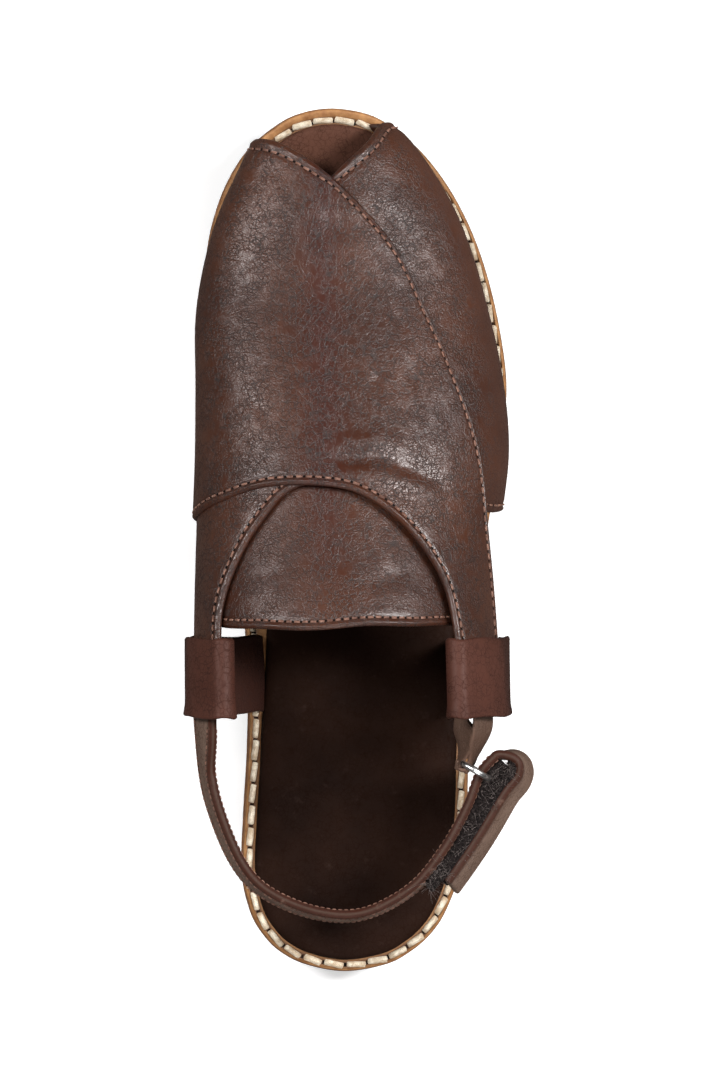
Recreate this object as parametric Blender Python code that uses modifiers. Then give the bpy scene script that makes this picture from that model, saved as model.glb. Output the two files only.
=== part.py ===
"""Peshawari chappal for the right foot: two crossing leather bands on a stitched sole, with a slung heel strap.

Lengths are metres. +Y runs from heel to toe, +X to the outer side of the foot and +Z up. The origin lies on the
floor, at the middle of the heel's flat ground face.
"""

import bisect
import math
from collections import namedtuple

import bmesh
import bpy
from mathutils import Vector

# Sole
SOLE_LENGTH = 0.288
BALL_WIDTH = 0.1024
HEEL_WIDTH = 0.075
HEEL_BACK = 0.040          # from the origin to the rear end of the sole
HEEL_LENGTH = 0.074
HEEL_HEIGHT = 0.014
HEEL_BREAST = 0.006        # depth of the hollow in the heel's front face
HEEL_INSET = 0.0012
HEEL_CORNER = 0.002        # from the heel's front corners back to where its outline follows the sole again
OUTSOLE = 0.0055
MIDSOLE = 0.0040
MIDSOLE_INSET = 0.0008
INSOLE = 0.0026
INSOLE_GAP = 0.0010         # from the insole to the inside of the wall at its foot
INSOLE_HEEL_REACH = 0.0040  # how much nearer the edge the insole lies at the heel than under the upper
INSOLE_WAIST = (0.15, 0.48)  # shares of the sole's length between which the insole's edge moves in
TOE_SPRING = 0.015
TREAD_START = 0.56         # shares of the sole's length between which the forefoot lies flat on the floor
TREAD_END = 0.76
SOLE_CUT = 0.012           # longest stretch of a sole layer that is left straight

# Upper
INSTEP_HEIGHT = 0.068      # inside height over the midsole where the tongue ends
BAND = 0.0024              # wall of a band
BAND_STEP = 0.0014         # how far the top band stands over the under band
FEATHER_RISE = 0.0013      # from the midsole to the inside of the wall: its outer corner then just clears it
FEATHER_INSET = 0.0076     # from the sole's edge to the inside of the wall where it meets the midsole
SIDE_SHARE = 0.30          # share of the way from feather to crown that lies below the widest point
TOE_REACH = 0.0035         # how far the bands' front corners are drawn forward and to the inner side
TOE_LEAN = 0.0012
TOE_CORNERS = (0.905, 0.955)  # shares of the sole's length between which that begins and is complete
TONGUE = 0.0018
TONGUE_GAP = 0.0007

# Keepers, heel strap, ring
KEEPER = 0.0016
KEEPER_LENGTH = 0.0255
KEEPER_REAR = 0.302        # share of the sole's length at the rear end of the keepers
KEEPER_INSET = 0.0048
KEEPER_PLAY = 0.0013       # room on each side of the strap inside a keeper
KEEPER_KNEE = 0.0030       # how far a keeper bends in between the sole and the tail
KEEPER_KNEE_SHARE = 0.45   # share of the way up to the tail at which it bends
STRAP = 0.0028
STRAP_WIDTH = 0.019
STRAP_LEAN = 0.16          # sideways run of the strap's top edge for each unit of its height
STRAP_HEIGHT = 0.058       # middle of the strap over the floor at the keeper
RING_WIRE = 0.0018
RING_HEIGHT = 0.0280
RING_SHIFT = 0.0018        # from the ring's middle out to the strap that runs through it
RING_WIDTH = 0.0113
RING_TAB = 0.0015
RING_TAB_WIDTH = 0.0125
TAB_GAP = 0.0055           # between the two layers of the ring tab where they leave the keeper
TAB_BOW = 0.0010
TAPE = 0.0024
TAPE_WIDTH = 0.017
FLAP_GAP = 0.0086          # from the middle of the strap to the middle of the flap that lies over it
FLAP_BULGE = 0.0034        # how much wider the gap is where the strap turns back

CLEARANCE = 0.0003         # between pieces that touch

LEATHER = (0.062, 0.026, 0.017, 1.0)
REDDER_LEATHER = (0.085, 0.033, 0.021, 1.0)
LINING = (0.036, 0.018, 0.013, 1.0)
SOLE_LEATHER = (0.42, 0.22, 0.10, 1.0)
SOLE_EDGE = (0.33, 0.16, 0.07, 1.0)
HEEL_STACK = (0.24, 0.11, 0.05, 1.0)
STEEL = (0.62, 0.61, 0.60, 1.0)
FUZZ = (0.035, 0.025, 0.024, 1.0)

Edge = namedtuple("Edge", "along width inner outer")
Section = namedtuple("Section", "along inner outer belly crown ridge")
Track = namedtuple("Track", "along turn")
Step = namedtuple("Step", "across along rise")

# Sole outline: share of the length, the width it follows, and the inner and outer half as shares of that width
SOLE_OUTLINE = [
    Edge(0.008, HEEL_WIDTH, 0.213, 0.145),
    Edge(0.023, HEEL_WIDTH, 0.328, 0.255),
    Edge(0.043, HEEL_WIDTH, 0.405, 0.343),
    Edge(0.070, HEEL_WIDTH, 0.463, 0.411),
    Edge(0.115, HEEL_WIDTH, 0.500, 0.472),
    Edge(0.180, HEEL_WIDTH, 0.493, 0.503),
    Edge(0.260, HEEL_WIDTH, 0.476, 0.512),
    Edge(0.350, BALL_WIDTH, 0.346, 0.383),
    Edge(0.440, BALL_WIDTH, 0.367, 0.415),
    Edge(0.530, BALL_WIDTH, 0.411, 0.455),
    Edge(0.610, BALL_WIDTH, 0.451, 0.494),
    Edge(0.680, BALL_WIDTH, 0.480, 0.511),
    Edge(0.745, BALL_WIDTH, 0.489, 0.489),
    Edge(0.805, BALL_WIDTH, 0.487, 0.450),
    Edge(0.860, BALL_WIDTH, 0.467, 0.394),
    Edge(0.910, BALL_WIDTH, 0.421, 0.317),
    Edge(0.950, BALL_WIDTH, 0.353, 0.227),
    Edge(0.976, BALL_WIDTH, 0.272, 0.138),
    Edge(0.993, BALL_WIDTH, 0.187, 0.052),
]
HEEL_END = -0.040          # sideways place of the rear and front ends, as shares of the heel and ball width
TOE_END = -0.073

# Inside of the upper: half widths at the widest point as shares of the ball width, heights over the midsole as
# shares of the instep height, and how far the ridge of the instep lies to the inner side
LAST = [
    Section(0.28, 0.496, 0.418, 0.44, 0.98, -0.060),
    Section(0.40, 0.496, 0.420, 0.44, 1.00, -0.070),
    Section(0.50, 0.487, 0.437, 0.40, 0.93, -0.080),
    Section(0.60, 0.476, 0.472, 0.35, 0.81, -0.085),
    Section(0.68, 0.474, 0.457, 0.31, 0.70, -0.085),
    Section(0.76, 0.472, 0.412, 0.27, 0.59, -0.085),
    Section(0.84, 0.428, 0.347, 0.23, 0.48, -0.085),
    Section(0.90, 0.362, 0.270, 0.18, 0.39, -0.085),
    Section(0.94, 0.285, 0.175, 0.13, 0.29, -0.080),
    Section(0.968, 0.190, 0.070, 0.07, 0.15, -0.075),
]

# Edges of the bands from the feather to the tail: place along the sole and turn over the foot, which is 0 at the
# inner feather and 1 at the outer feather
TOP_FRONT = [
    Track(0.952, 0.00), Track(0.944, 0.20), Track(0.926, 0.40), Track(0.893, 0.535), Track(0.836, 0.62),
    Track(0.757, 0.66), Track(0.670, 0.70), Track(0.560, 0.75), Track(0.450, 0.80), Track(0.345, 0.84),
]
TOP_REAR = [
    Track(0.520, 0.00), Track(0.522, 0.18), Track(0.540, 0.30), Track(0.557, 0.40), Track(0.556, 0.50),
    Track(0.538, 0.56), Track(0.500, 0.62), Track(0.450, 0.67), Track(0.402, 0.69), Track(0.345, 0.70),
]
UNDER_FRONT = [
    Track(0.968, 1.00), Track(0.954, 0.78), Track(0.925, 0.62), Track(0.885, 0.50), Track(0.820, 0.38),
    Track(0.730, 0.29), Track(0.640, 0.22), Track(0.540, 0.16), Track(0.440, 0.14), Track(0.345, 0.14),
]
UNDER_REAR = [
    Track(0.508, 1.00), Track(0.514, 0.84), Track(0.543, 0.70), Track(0.563, 0.60), Track(0.566, 0.52),
    Track(0.556, 0.44), Track(0.522, 0.39), Track(0.474, 0.34), Track(0.415, 0.30), Track(0.345, 0.30),
]
TONGUE_REAR = 0.404
TONGUE_FRONT = 0.640
TONGUE_SIDE = 0.25         # turn at the tongue's inner side, and as far from the outer feather at its outer side

# Middle line of the heel strap from behind the inner keeper round the heel and through the ring: shares of the
# heel width, of the sole's length, and of the strap's height
STRAP_PATH = [
    Step(-0.664, 0.245, 1.01), Step(-0.623, 0.196, 1.03),
    Step(-0.530, 0.139, 1.06), Step(-0.410, 0.105, 1.08), Step(-0.200, 0.082, 1.10), Step(0.010, 0.080, 1.10),
    Step(0.224, 0.108, 1.08), Step(0.371, 0.152, 1.05), Step(0.475, 0.200, 1.02), Step(0.530, 0.236, 1.01),
    Step(0.598, 0.256, 1.01),
]
STRAP_STEPS = 4            # pieces that each stretch of the path is divided into
RING_STEP = 11             # stretch of the strap at whose end it passes through the ring
FLAP_STEP = 8.5            # stretch of the strap that the flap's end reaches back to

def value_at(rows, column, along):
    """Value of a table's column at a share of the length, on a smooth curve through the rows."""
    stations = [row.along for row in rows]
    values = [getattr(row, column) for row in rows]
    along = min(max(along, stations[0]), stations[-1])
    i = min(max(bisect.bisect_right(stations, along) - 1, 0), len(rows) - 2)

    def slope(k):
        low, high = max(k - 1, 0), min(k + 1, len(rows) - 1)
        return (values[high] - values[low]) / (stations[high] - stations[low])

    span = stations[i + 1] - stations[i]
    u = (along - stations[i]) / span
    return (
        values[i] * (1 + 2 * u) * (1 - u) ** 2
        + values[i + 1] * u * u * (3 - 2 * u)
        + slope(i) * span * u * (1 - u) ** 2
        - slope(i + 1) * span * u * u * (1 - u)
    )


def curve_through(points, steps, closed=False):
    """Points on a smooth curve through the given ones, with a number of steps between each two."""
    count = len(points)
    spans = count if closed else count - 1
    out = []
    for i in range(spans):
        a = points[i - 1] if closed or i > 0 else points[0]
        b, c = points[i], points[(i + 1) % count]
        d = points[(i + 2) % count] if closed or i + 2 < count else points[-1]
        for k in range(steps):
            u = k / steps
            p = b * 2 + (c - a) * u + (a * 2 - b * 5 + c * 4 - d) * u**2 + (b * 3 - a - c * 3 + d) * u**3
            out.append(p * 0.5)
    if not closed:
        out.append(points[-1].copy())
    return out


def y_at(along):
    return along * SOLE_LENGTH - HEEL_BACK


def along_at(y):
    return (y + HEEL_BACK) / SOLE_LENGTH


def ease(u):
    u = min(max(u, 0.0), 1.0)
    return u * u * (3 - 2 * u)


def ground_gap(y):
    """Height of the outsole's lower face: raised on the heel, flat at the tread, lifted at the toe."""
    along = along_at(y)
    heel = HEEL_LENGTH / SOLE_LENGTH
    if along < TREAD_START:
        return HEEL_HEIGHT * (1 - ease((along - heel) / (TREAD_START - heel)))
    lift = max(along - TREAD_END, 0.0) / (1 - TREAD_END)
    return TOE_SPRING * lift**1.7


def midsole_bottom(y):
    return ground_gap(y) + OUTSOLE + CLEARANCE


def midsole_top(y):
    return midsole_bottom(y) + MIDSOLE


def sole_outline(inset, steps=4):
    """The sole's outline drawn in by a distance, which may be a function of the share along the length."""
    inner = [Vector((-row.inner * row.width, y_at(row.along))) for row in SOLE_OUTLINE]
    outer = [Vector((row.outer * row.width, y_at(row.along))) for row in SOLE_OUTLINE]
    heel = Vector((HEEL_END * HEEL_WIDTH, y_at(0.0)))
    toe = Vector((TOE_END * BALL_WIDTH, y_at(1.0)))
    loop = curve_through([heel, *outer, toe, *reversed(inner)], steps, closed=True)
    moved = []
    for i, point in enumerate(loop):
        run = (loop[(i + 1) % len(loop)] - loop[i - 1]).normalized()
        depth = inset(along_at(point.y)) if callable(inset) else inset
        moved.append(point + Vector((-run.y, run.x)) * depth)
    return moved


def half_width(loop, y, side):
    """Distance from the middle plane to an outline at a station, on the side -1 or 1."""
    best = 0.0
    for i, point in enumerate(loop):
        other = loop[i - 1]
        if (point.y - y) * (other.y - y) <= 0 and point.y != other.y:
            x = point.x + (other.x - point.x) * (y - point.y) / (other.y - point.y)
            best = max(best, side * x)
    return best


def insole_inset(along):
    """The insole reaches the stitches at the heel, and lies inside the keepers and the upper farther forward."""
    start, end = INSOLE_WAIST
    return FEATHER_INSET + INSOLE_GAP - INSOLE_HEEL_REACH * (1 - ease((along - start) / (end - start)))


SOLE_EDGE_LINE = sole_outline(0.0)
FEATHER = sole_outline(FEATHER_INSET)


def last_point(along, turn):
    """Point on the inside of the upper."""
    start, end = TOE_CORNERS
    toe = ease((along - start) / (end - start))
    y = y_at(along)
    side = -1 if turn < 0.5 else 1
    half = value_at(LAST, "inner" if side < 0 else "outer", along) * BALL_WIDTH
    belly = value_at(LAST, "belly", along) * INSTEP_HEIGHT
    crown = value_at(LAST, "crown", along) * INSTEP_HEIGHT
    ridge = value_at(LAST, "ridge", along) * BALL_WIDTH
    foot = min(half_width(FEATHER, y, side), half)
    y += TOE_REACH * toe
    base = midsole_top(y) + FEATHER_RISE
    rise = 1 - abs(2 * turn - 1)
    if rise < SIDE_SHARE:
        tuck = 0.5 - 0.5 * math.cos(math.pi * (1 - rise / SIDE_SHARE))
        x = side * (half - (half - foot) * tuck) - TOE_LEAN * toe
        return Vector((x, y, base + belly * rise / SIDE_SHARE))
    angle = (rise - SIDE_SHARE) / (1 - SIDE_SHARE) * math.pi / 2
    x = side * half * math.cos(angle) + ridge * math.sin(angle) - TOE_LEAN * toe
    return Vector((x, y, base + belly + (crown - belly) * math.sin(angle)))


def last_normal(along, turn):
    """Outward direction of the upper's surface."""
    d = 0.004
    low, high = max(turn - d, 0.0), min(turn + d, 1.0)
    run = last_point(along + d, turn) - last_point(along - d, turn)
    over = last_point(along, high) - last_point(along, low)
    return over.cross(run).normalized()


def last_offset(along, turn, offset):
    return last_point(along, turn) + last_normal(along, turn) * offset


def new_material(name, colour, roughness, metallic=0.0):
    material = bpy.data.materials.new(name)
    material.use_nodes = True
    shader = material.node_tree.nodes["Principled BSDF"]
    shader.inputs["Base Color"].default_value = colour
    shader.inputs["Roughness"].default_value = roughness
    shader.inputs["Metallic"].default_value = metallic
    material.diffuse_color = colour
    return material


def add_object(name, mesh, material, collection):
    mesh.materials.clear()
    mesh.materials.append(material)
    mesh.shade_smooth()
    mesh.set_sharp_from_angle(angle=math.radians(40))
    obj = bpy.data.objects.new(name, mesh)
    collection.objects.link(obj)
    return obj


def sheet(name, columns, rows, place):
    """An open grid whose points are placed by a function of two shares, from 0 to 1."""
    bm = bmesh.new()
    bmesh.ops.create_grid(bm, x_segments=columns, y_segments=rows, size=0.5)
    for vert in bm.verts:
        vert.co = place(vert.co.x + 0.5, vert.co.y + 0.5)
    mesh = bpy.data.meshes.new(name)
    bm.to_mesh(mesh)
    bm.free()
    return mesh


def thicken(obj, thickness, offset):
    """Solidify: an offset of 1 builds outward from the sheet, and 0 builds to both sides."""
    wall = obj.modifiers.new("Wall", "SOLIDIFY")
    wall.thickness = thickness
    wall.offset = offset
    wall.use_even_offset = True
    return wall


def evaluated_mesh(obj):
    graph = bpy.context.evaluated_depsgraph_get()
    return bpy.data.meshes.new_from_object(obj.evaluated_get(graph))


def plate(name, loop, bottom, thickness, material, collection, spacing=SOLE_CUT):
    """A flat outline with a thickness, cut across at even stations and laid on a height function."""
    curve = bpy.data.curves.new(name, "CURVE")
    curve.dimensions = "2D"
    curve.fill_mode = "BOTH"
    curve.extrude = thickness / 2
    spline = curve.splines.new("POLY")
    spline.points.add(len(loop) - 1)
    for point, co in zip(spline.points, loop):
        point.co = (co.x, co.y, 0.0, 1.0)
    spline.use_cyclic_u = True
    holder = bpy.data.objects.new(name, curve)
    collection.objects.link(holder)
    bpy.context.view_layer.update()
    mesh = evaluated_mesh(holder)
    bpy.data.objects.remove(holder)
    bpy.data.curves.remove(curve)
    bm = bmesh.new()
    bm.from_mesh(mesh)
    bmesh.ops.remove_doubles(bm, verts=bm.verts, dist=0.00001)
    low, high = min(co.y for co in loop), max(co.y for co in loop)
    cuts = int((high - low) / spacing)
    for k in range(1, cuts + 1):
        bmesh.ops.bisect_plane(
            bm,
            geom=[*bm.verts, *bm.edges, *bm.faces],
            dist=0.00001,
            plane_co=(0, low + (high - low) * k / (cuts + 1), 0),
            plane_no=(0, 1, 0),
        )
    for vert in bm.verts:
        vert.co.z += thickness / 2 + bottom(vert.co.y)
    bmesh.ops.recalc_face_normals(bm, faces=bm.faces)
    bm.to_mesh(mesh)
    bm.free()
    return add_object(name, mesh, material, collection)


def heel_outline():
    """The sole's rear outline, closed by the hollow front face of the heel."""
    front = y_at(HEEL_LENGTH / SOLE_LENGTH)
    loop = [p for p in sole_outline(HEEL_INSET) if p.y < front - HEEL_CORNER]
    start = next(i for i, p in enumerate(loop) if p.x < 0 and loop[i - 1].x > 0 and p.y > 0)
    loop = loop[start:] + loop[:start]
    right = half_width(sole_outline(HEEL_INSET), front, 1)
    left = half_width(sole_outline(HEEL_INSET), front, -1)
    steps = 8
    for k in range(steps + 1):
        u = k / steps
        loop.append(Vector((right - (right + left) * u, front - HEEL_BREAST * math.sin(math.pi * u))))
    return loop


def add_sole(collection):
    leather = new_material("Sole leather", SOLE_LEATHER, 0.7)
    edge = new_material("Outsole leather", SOLE_EDGE, 0.75)
    plate("outsole", sole_outline(0.0), ground_gap, OUTSOLE, edge, collection)
    plate("midsole", sole_outline(MIDSOLE_INSET), midsole_bottom, MIDSOLE, leather, collection)
    plate(
        "insole",
        sole_outline(insole_inset),
        lambda y: midsole_top(y) + CLEARANCE,
        INSOLE,
        new_material("Insole", LINING, 0.45),
        collection,
    )
    height = HEEL_HEIGHT - CLEARANCE
    stack = new_material("Heel stack", HEEL_STACK, 0.7)
    plate("heel", heel_outline(), lambda y: 0.0, height, stack, collection, spacing=SOLE_LENGTH)


def track_at(rows, u):
    """Place along and turn on a band's edge, at a share of the way from the feather to the tail."""
    count = len(rows) - 1
    marks = [Vector((row.along, row.turn)) for row in rows]
    i = min(int(u * count), count - 1)
    a, b, c, d = marks[max(i - 1, 0)], marks[i], marks[i + 1], marks[min(i + 2, count)]
    t = u * count - i
    return (b * 2 + (c - a) * t + (a * 2 - b * 5 + c * 4 - d) * t**2 + (b * 3 - a - c * 3 + d) * t**3) * 0.5


def band_mesh(name, front, rear, offset, mirrored):
    def place(u, v):
        mark = track_at(rear, u).lerp(track_at(front, u), v)
        return last_offset(mark.x, min(max(mark.y, 0.0), 1.0), offset)

    mesh = sheet(name, 26, 14, place)
    if mirrored:
        mesh.flip_normals()
    return mesh


def add_upper(collection, cutters):
    leather = new_material("Upper leather", LEATHER, 0.42)
    upper = add_object("upper", band_mesh("upper", TOP_FRONT, TOP_REAR, BAND_STEP, False), leather, collection)
    thicken(upper, BAND, 1)
    under = add_object("under_band", band_mesh("under_band", UNDER_FRONT, UNDER_REAR, 0.0, True), leather, cutters)
    thicken(under, BAND, 1)
    under.hide_render = True
    under.display_type = "WIRE"
    join = upper.modifiers.new("Crossing", "BOOLEAN")
    join.operation = "UNION"
    join.solver = "EXACT"
    join.object = under


def add_tongue(collection):
    def place(u, v):
        turn = TONGUE_SIDE + (1 - 2 * TONGUE_SIDE) * u
        along = TONGUE_REAR + (TONGUE_FRONT - TONGUE_REAR) * v
        return last_offset(along, turn, -TONGUE_GAP)

    leather = new_material("Tongue leather", LEATHER, 0.42)
    tongue = add_object("tongue", sheet("tongue", 14, 10, place), leather, collection)
    thicken(tongue, TONGUE, -1)


def keeper_section(along, side, low, top, middle):
    """Middle line of a keeper at one station: up from the sole, inside the tail, over it, down and under it."""
    y = y_at(along)
    reach = STRAP / 2 + KEEPER_PLAY + KEEPER / 2
    turns = [low + (top - low) * k / 5 for k in range(6)]
    mids = [last_offset(along, turn, middle) for turn in turns]
    outs = [last_normal(along, turn) for turn in turns]
    foot = side * (half_width(SOLE_EDGE_LINE, y, side) - KEEPER_INSET)
    root = Vector((foot, y, midsole_top(y) + CLEARANCE))
    inside = [mid - out * reach for mid, out in zip(mids, outs)]
    knee = root.lerp(inside[0], KEEPER_KNEE_SHARE) - Vector((side * KEEPER_KNEE, 0.0, 0.0))
    path = curve_through([root, knee, inside[0]], 3)[:-1] + inside
    up = (mids[-1] - mids[-2]).normalized()
    for k in range(1, 6):
        angle = math.pi * k / 6
        path.append(mids[-1] + (up * math.sin(angle) - outs[-1] * math.cos(angle)) * reach)
    path += [mid + out * reach for mid, out in zip(reversed(mids), reversed(outs))]
    down = (mids[0] - mids[1]).normalized()
    for k in range(1, 5):
        angle = math.pi * k / 8
        path.append(mids[0] + (down * math.sin(angle) + outs[0] * math.cos(angle)) * reach)
    return [Vector((point.x, y, point.z)) for point in path]


def add_keeper(name, side, low, top, middle, material, collection):
    ends = [KEEPER_REAR, KEEPER_REAR + KEEPER_LENGTH / SOLE_LENGTH]
    lines = [keeper_section(ends[0] + (ends[1] - ends[0]) * k / 3, side, low, top, middle) for k in range(4)]
    count = len(lines[0]) - 1
    mesh = sheet(name, count, 3, lambda u, v: lines[round(v * 3)][round(u * count)])
    obj = add_object(name, mesh, material, collection)
    if side < 0:
        mesh.flip_normals()
    thicken(obj, KEEPER, 0)


def add_keepers(collection):
    leather = new_material("Keeper leather", REDDER_LEATHER, 0.5)
    inner_middle = BAND / 2
    outer_middle = BAND_STEP + BAND / 2
    add_keeper("keeper_medial", -1, UNDER_FRONT[-1].turn, UNDER_REAR[-1].turn, inner_middle, leather, collection)
    add_keeper("keeper_lateral", 1, TOP_FRONT[-1].turn, TOP_REAR[-1].turn, outer_middle, leather, collection)


def strip(name, path, ups, width, thickness, material, collection):
    """A flat strap on edge: its middle line, and at each point the way its width runs."""
    count = len(path) - 1
    mesh = sheet(name, count, 2, lambda u, v: path[round(u * count)] + ups[round(u * count)] * width * (v - 0.5))
    obj = add_object(name, mesh, material, collection)
    thicken(obj, thickness, 0)
    return obj


def tail_point(along, side, share):
    """Point inside a tail's wall, at a share of the way up its width."""
    front, rear = (UNDER_FRONT[-1], UNDER_REAR[-1]) if side < 0 else (TOP_FRONT[-1], TOP_REAR[-1])
    offset = BAND / 2 if side < 0 else BAND_STEP + BAND / 2
    return last_offset(along, front.turn + (rear.turn - front.turn) * share, offset)


def tail_middle(along, side):
    """Middle of the bowed tail, drawn towards its chord as a straight strap lies in it."""
    chord = (tail_point(along, side, 0.0) + tail_point(along, side, 1.0)) / 2
    return tail_point(along, side, 0.5).lerp(chord, 0.35)


def tail_rise(along, side):
    """The way a tail's width runs upward inside its keeper."""
    return (tail_point(along, side, 0.85) - tail_point(along, side, 0.15)).normalized()


def strap_line():
    """Points of the strap's middle line, and the outward level direction at each."""
    start = tail_middle(UNDER_REAR[-1].along - 2 * CLEARANCE / SOLE_LENGTH, -1)
    marks = [start, tail_middle(KEEPER_REAR, -1)]
    marks += [Vector((row.across * HEEL_WIDTH, y_at(row.along), row.rise * STRAP_HEIGHT)) for row in STRAP_PATH]
    path = curve_through(marks, STRAP_STEPS)
    outs = []
    for i in range(len(path)):
        run = path[min(i + 1, len(path) - 1)] - path[max(i - 1, 0)]
        outs.append(Vector((run.y, -run.x, 0.0)).normalized())
    return path, outs


def lean(out, amount=STRAP_LEAN):
    return (Vector((0.0, 0.0, 1.0)) - out * amount).normalized()


def add_strap(collection):
    """The strap, its turn-back past the ring and the flap that lies over it, with the two tapes between."""
    path, outs = strap_line()
    leather = new_material("Strap leather", LEATHER, 0.45)
    ups = [lean(out) for out in outs]
    for i in range(2 * STRAP_STEPS):
        ups[i] = tail_rise(KEEPER_REAR, -1).lerp(ups[i], ease(i / STRAP_STEPS - 1)).normalized()
    first = round(FLAP_STEP * STRAP_STEPS)
    final = len(path) - 1
    gaps = [FLAP_GAP + FLAP_BULGE * ease((i - first) / (final - first)) for i in range(final + 1)]
    run = Vector((-outs[-1].y, outs[-1].x, 0.0))
    line, line_ups = list(path), list(ups)
    centre = path[-1] + outs[-1] * gaps[-1] / 2
    for k in range(1, 8):
        angle = math.pi * k / 8
        line.append(centre + (run * math.sin(angle) - outs[-1] * math.cos(angle)) * gaps[-1] / 2)
        line_ups.append(ups[-1])
    for i in reversed(range(first, final + 1)):
        line.append(path[i] + outs[i] * gaps[i])
        line_ups.append(ups[i])
    strip("heel_strap", line, line_ups, STRAP_WIDTH, STRAP, leather, collection)

    fuzz = new_material("Hook and loop", FUZZ, 0.95)
    near = STRAP / 2 + CLEARANCE + TAPE / 2
    last = RING_STEP * STRAP_STEPS - 2
    loop = [(path[i] + outs[i] * near, ups[i]) for i in range(first - 1, last)]
    hook = [(path[i] + outs[i] * (gaps[i] - near), ups[i]) for i in range(first, final + 1)]
    strip("loop_tape", [a for a, b in loop], [b for a, b in loop], TAPE_WIDTH, TAPE, fuzz, collection)
    strip("hook_tape", [a for a, b in hook], [b for a, b in hook], TAPE_WIDTH, TAPE, fuzz, collection)


def ring_place():
    """Middle of the ring, the level direction across it and the way its height runs."""
    path, outs = strap_line()
    i = RING_STEP * STRAP_STEPS
    return path[i] - outs[i] * RING_SHIFT, outs[i], lean(outs[i])


def add_ring(collection):
    centre, out, up = ring_place()
    radius = (RING_WIDTH - RING_WIRE) / 2
    straight = (RING_HEIGHT - RING_WIDTH) / 2
    points = []
    for end in (1, -1):
        for k in range(9):
            angle = math.pi * k / 8
            level = out * math.cos(angle) * radius * end
            points.append(centre + level + up * end * (straight + math.sin(angle) * radius))
    curve = bpy.data.curves.new("ring", "CURVE")
    curve.dimensions = "3D"
    curve.bevel_depth = RING_WIRE / 2
    curve.bevel_resolution = 2
    spline = curve.splines.new("POLY")
    spline.points.add(len(points) - 1)
    for point, co in zip(spline.points, points):
        point.co = (*co, 1.0)
    spline.use_cyclic_u = True
    holder = bpy.data.objects.new("ring", curve)
    collection.objects.link(holder)
    bpy.context.view_layer.update()
    mesh = evaluated_mesh(holder)
    bpy.data.objects.remove(holder)
    bpy.data.curves.remove(curve)
    add_object("ring", mesh, new_material("Ring steel", STEEL, 0.22, 1.0), collection)


def add_ring_tab(collection):
    """The tail's narrow end: it runs back from the outer keeper, round the ring's inner bar, and forward again."""
    centre, out, up = ring_place()
    bar = centre - out * (RING_WIDTH - RING_WIRE) / 2
    run = Vector((-out.y, out.x, 0.0))
    bend = RING_WIRE / 2 + CLEARANCE + RING_TAB / 2
    gate = tail_middle(KEEPER_REAR, 1)
    start = tail_middle(TOP_REAR[-1].along - 2 * CLEARANCE / SOLE_LENGTH, 1)
    side = bar + out * bend
    outer = curve_through([start, gate, gate.lerp(side, 0.55) + out * TAB_BOW, side], 3)
    fold = []
    for k in range(1, 8):
        angle = math.pi * k / 8
        fold.append(bar + (out * math.cos(angle) - run * math.sin(angle)) * bend)
    back = bar - out * bend
    rest = gate - Vector((TAB_GAP, 2 * CLEARANCE, 0.0))
    inner = curve_through([back, back.lerp(rest, 0.5), rest], 3)
    path = outer + fold + inner
    steep = tail_rise(KEEPER_REAR, 1)
    ups = [up.lerp(steep, ease((point.y - bar.y) / (gate.y - bar.y))).normalized() for point in path]
    leather = new_material("Ring tab leather", REDDER_LEATHER, 0.5)
    strip("ring_tab", path, ups, RING_TAB_WIDTH, RING_TAB, leather, collection)


def main():
    for obj in list(bpy.data.objects):
        bpy.data.objects.remove(obj)
    pieces = bpy.data.collections.new("Peshawari chappal")
    cutters = bpy.data.collections.new("Cutters")
    bpy.context.scene.collection.children.link(pieces)
    bpy.context.scene.collection.children.link(cutters)
    add_sole(pieces)
    add_upper(pieces, cutters)
    add_tongue(pieces)
    add_keepers(pieces)
    add_strap(pieces)
    add_ring(pieces)
    add_ring_tab(pieces)


main()
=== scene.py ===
"""Peshawari chappal for the right foot: leather bands, hand-stitched sole, heel strap with ring and tape.

Lengths are metres. +Y runs from heel to toe, +X to the outer side of the foot and +Z up. The origin lies on the
floor, at the middle of the heel's flat ground face.
"""

import bisect
import math
import random
from collections import namedtuple
from functools import lru_cache, partial

import bmesh
import bpy
from bpy.props import FloatProperty, IntProperty, PointerProperty
from mathutils import Matrix, Vector


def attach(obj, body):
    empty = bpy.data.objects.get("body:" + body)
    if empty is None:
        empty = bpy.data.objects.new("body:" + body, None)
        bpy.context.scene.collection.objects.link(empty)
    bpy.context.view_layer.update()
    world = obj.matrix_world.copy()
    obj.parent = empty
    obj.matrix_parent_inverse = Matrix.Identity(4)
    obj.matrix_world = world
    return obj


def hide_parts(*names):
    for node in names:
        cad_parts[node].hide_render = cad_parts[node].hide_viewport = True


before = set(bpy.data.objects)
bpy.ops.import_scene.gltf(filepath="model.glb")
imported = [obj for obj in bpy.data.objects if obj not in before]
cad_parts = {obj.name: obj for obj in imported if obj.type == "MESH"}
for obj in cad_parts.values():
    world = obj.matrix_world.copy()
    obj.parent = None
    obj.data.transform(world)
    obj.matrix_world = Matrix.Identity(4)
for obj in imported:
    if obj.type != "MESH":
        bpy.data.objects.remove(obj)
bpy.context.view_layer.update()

bl_info = {
    "name": "Peshawari chappal",
    "version": (1, 0, 0),
    "blender": (4, 5, 0),
    "location": "3D View > Sidebar > Chappal",
    "description": "Builds the leather, stitching and metal of a stitched sandal over its solid model",
    "category": "Object",
}

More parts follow.
